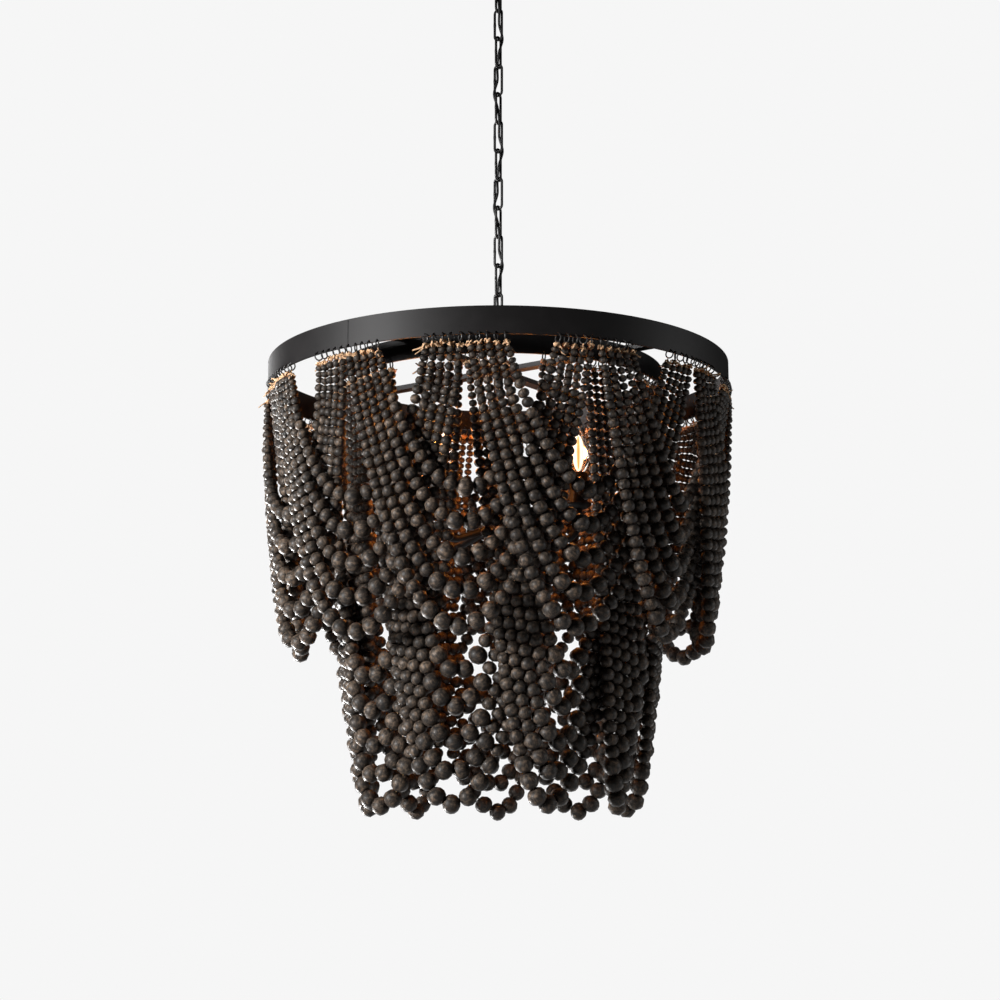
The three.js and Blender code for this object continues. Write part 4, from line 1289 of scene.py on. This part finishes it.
# %% [markdown]
# ## CAD nodes that stay
# The ceiling strap and the crossed bars are flat stock with the right shape already, so
# they keep their CAD meshes and only get the paint.

# %% Paint the strap and the bars
for node_name in ("ceiling_strap", "cross_bar_a", "cross_bar_b"):
    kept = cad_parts[node_name]
    kept.data.materials.clear()
    kept.data.materials.append(paint_finish)
print("painted CAD nodes: 3")

# %% [markdown]
# ## Light, background and floor
# The photograph has a plain white background and one large soft light from the left front.
# A narrow lamp behind on the left draws the beads' rims, a weak one lights the hoop's left
# end, and a wide one fills the right. Light Path tells the world which rays come from the
# camera, so the background is white to it. The bulbs add a warm glow inside.

# %% White surroundings and a plain pale floor
BACKGROUND = 0.922
WHITE = (BACKGROUND, BACKGROUND, BACKGROUND, 1.0)
ROOM_LIGHT = 0.018
FLOOR_HEIGHT = -2.45
FLOOR_HALF = 9.0
FLOOR_WHITE_SHARE = 0.85


def white_surroundings():
    """Rays from the camera and through glass see the white; all others see the room light."""
    world = bpy.data.worlds.new("white_surroundings")
    world.use_nodes = True
    tree = world.node_tree
    tree.nodes.clear()
    rays = tree.nodes.new("ShaderNodeLightPath").outputs
    seen = maths(tree, "MAXIMUM", rays["Is Camera Ray"], rays["Is Transmission Ray"])
    white = node(tree, "ShaderNodeBackground", Color=WHITE, Strength=1.0).outputs[0]
    room = node(tree, "ShaderNodeBackground", Color=(1.0, 1.0, 1.0, 1.0), Strength=ROOM_LIGHT).outputs[0]
    mixed = node(tree, "ShaderNodeMixShader", _0=seen, _1=room, _2=white).outputs[0]
    node(tree, "ShaderNodeOutputWorld", Surface=mixed)
    bpy.context.scene.world = world


def pale_floor():
    """A wide square below the lamp: mostly the background's white to the camera, with a share
    of plain grey that shows a soft shadow."""
    corners = np.array([(-1, -1), (1, -1), (1, 1), (-1, 1)]) * FLOOR_HALF
    points = np.column_stack([corners, np.full(4, FLOOR_HEIGHT)])
    mesh = mesh_of("floor", points, np.array([[0, 1, 2, 3]]), smooth=False)
    floor = bpy.data.objects.new("floor", mesh)
    bpy.context.scene.collection.objects.link(floor)
    finish, tree, shader = new_finish("pale_floor")
    feed(tree, shader, Base_Color=(0.5, 0.5, 0.5, 1.0), Roughness=0.9)
    rays = tree.nodes.new("ShaderNodeLightPath").outputs
    white = node(tree, "ShaderNodeEmission", Color=WHITE, Strength=1.0).outputs[0]
    seen = maths(tree, "MAXIMUM", rays["Is Camera Ray"], rays["Is Glossy Ray"])
    share = maths(tree, "MULTIPLY", seen, FLOOR_WHITE_SHARE)
    mixed = node(tree, "ShaderNodeMixShader", _0=share, _1=shader.outputs[0], _2=white).outputs[0]
    output = next(made for made in tree.nodes if made.type == "OUTPUT_MATERIAL")
    feed(tree, output, Surface=mixed)
    mesh.materials.append(finish)


white_surroundings()
pale_floor()
print("white surroundings at", BACKGROUND, "and room light at", ROOM_LIGHT)


# %% Studio lamps and the bulbs' own glow
def soft_lamp(name, place_at, look_at, size, power, spread=50.0):
    """A square lamp of the given size in metres that faces a point, with a honeycomb grid that
    keeps its light within the spread in degrees."""
    data = bpy.data.lights.new(name, "AREA")
    data.size = size
    data.spread = np.radians(spread)
    data.energy = power
    lamp = bpy.data.objects.new(name, data)
    lamp.location = place_at
    way = Vector(look_at) - Vector(place_at)
    lamp.rotation_euler = way.to_track_quat("-Z", "Y").to_euler()
    lamp.visible_camera = False
    bpy.context.scene.collection.objects.link(lamp)


soft_lamp("key_lamp", (-2.82, -1.78, -0.5), (-0.25, 0.0, -0.85), 0.9, 11.2, spread=34.0)
soft_lamp("rim_lamp", (-1.5, 1.5, -1.9), (-0.36, 0.0, -0.9), 0.7, 4.5, spread=20.0)
soft_lamp("fill_lamp", (2.5, -0.15, -0.6), (0.0, 0.0, -0.9), 1.2, 1.6)
soft_lamp("edge_lamp", (-1.25, 2.15, 0.0), (-0.3, 0.0, -0.62), 1.0, 0.4, spread=24.0)

GLOW_POWER, GLOW_UNDER_TIP = 0.7, 36.0
for light in range(LIGHTS):
    data = bpy.data.lights.new(f"glow_{light + 1}", "POINT")
    data.energy = GLOW_POWER
    data.color = (1.0, 0.30, 0.055)
    data.shadow_soft_size = 0.012
    glow = bpy.data.objects.new(data.name, data)
    glow.location = over_light(light, bulb_high - GLOW_UNDER_TIP).tolist()
    bpy.context.scene.collection.objects.link(glow)
bpy.context.scene.view_settings.view_transform = "Standard"
print("lamps: key, rim, fill, edge and", LIGHTS, "bulbs of", GLOW_POWER, "W")
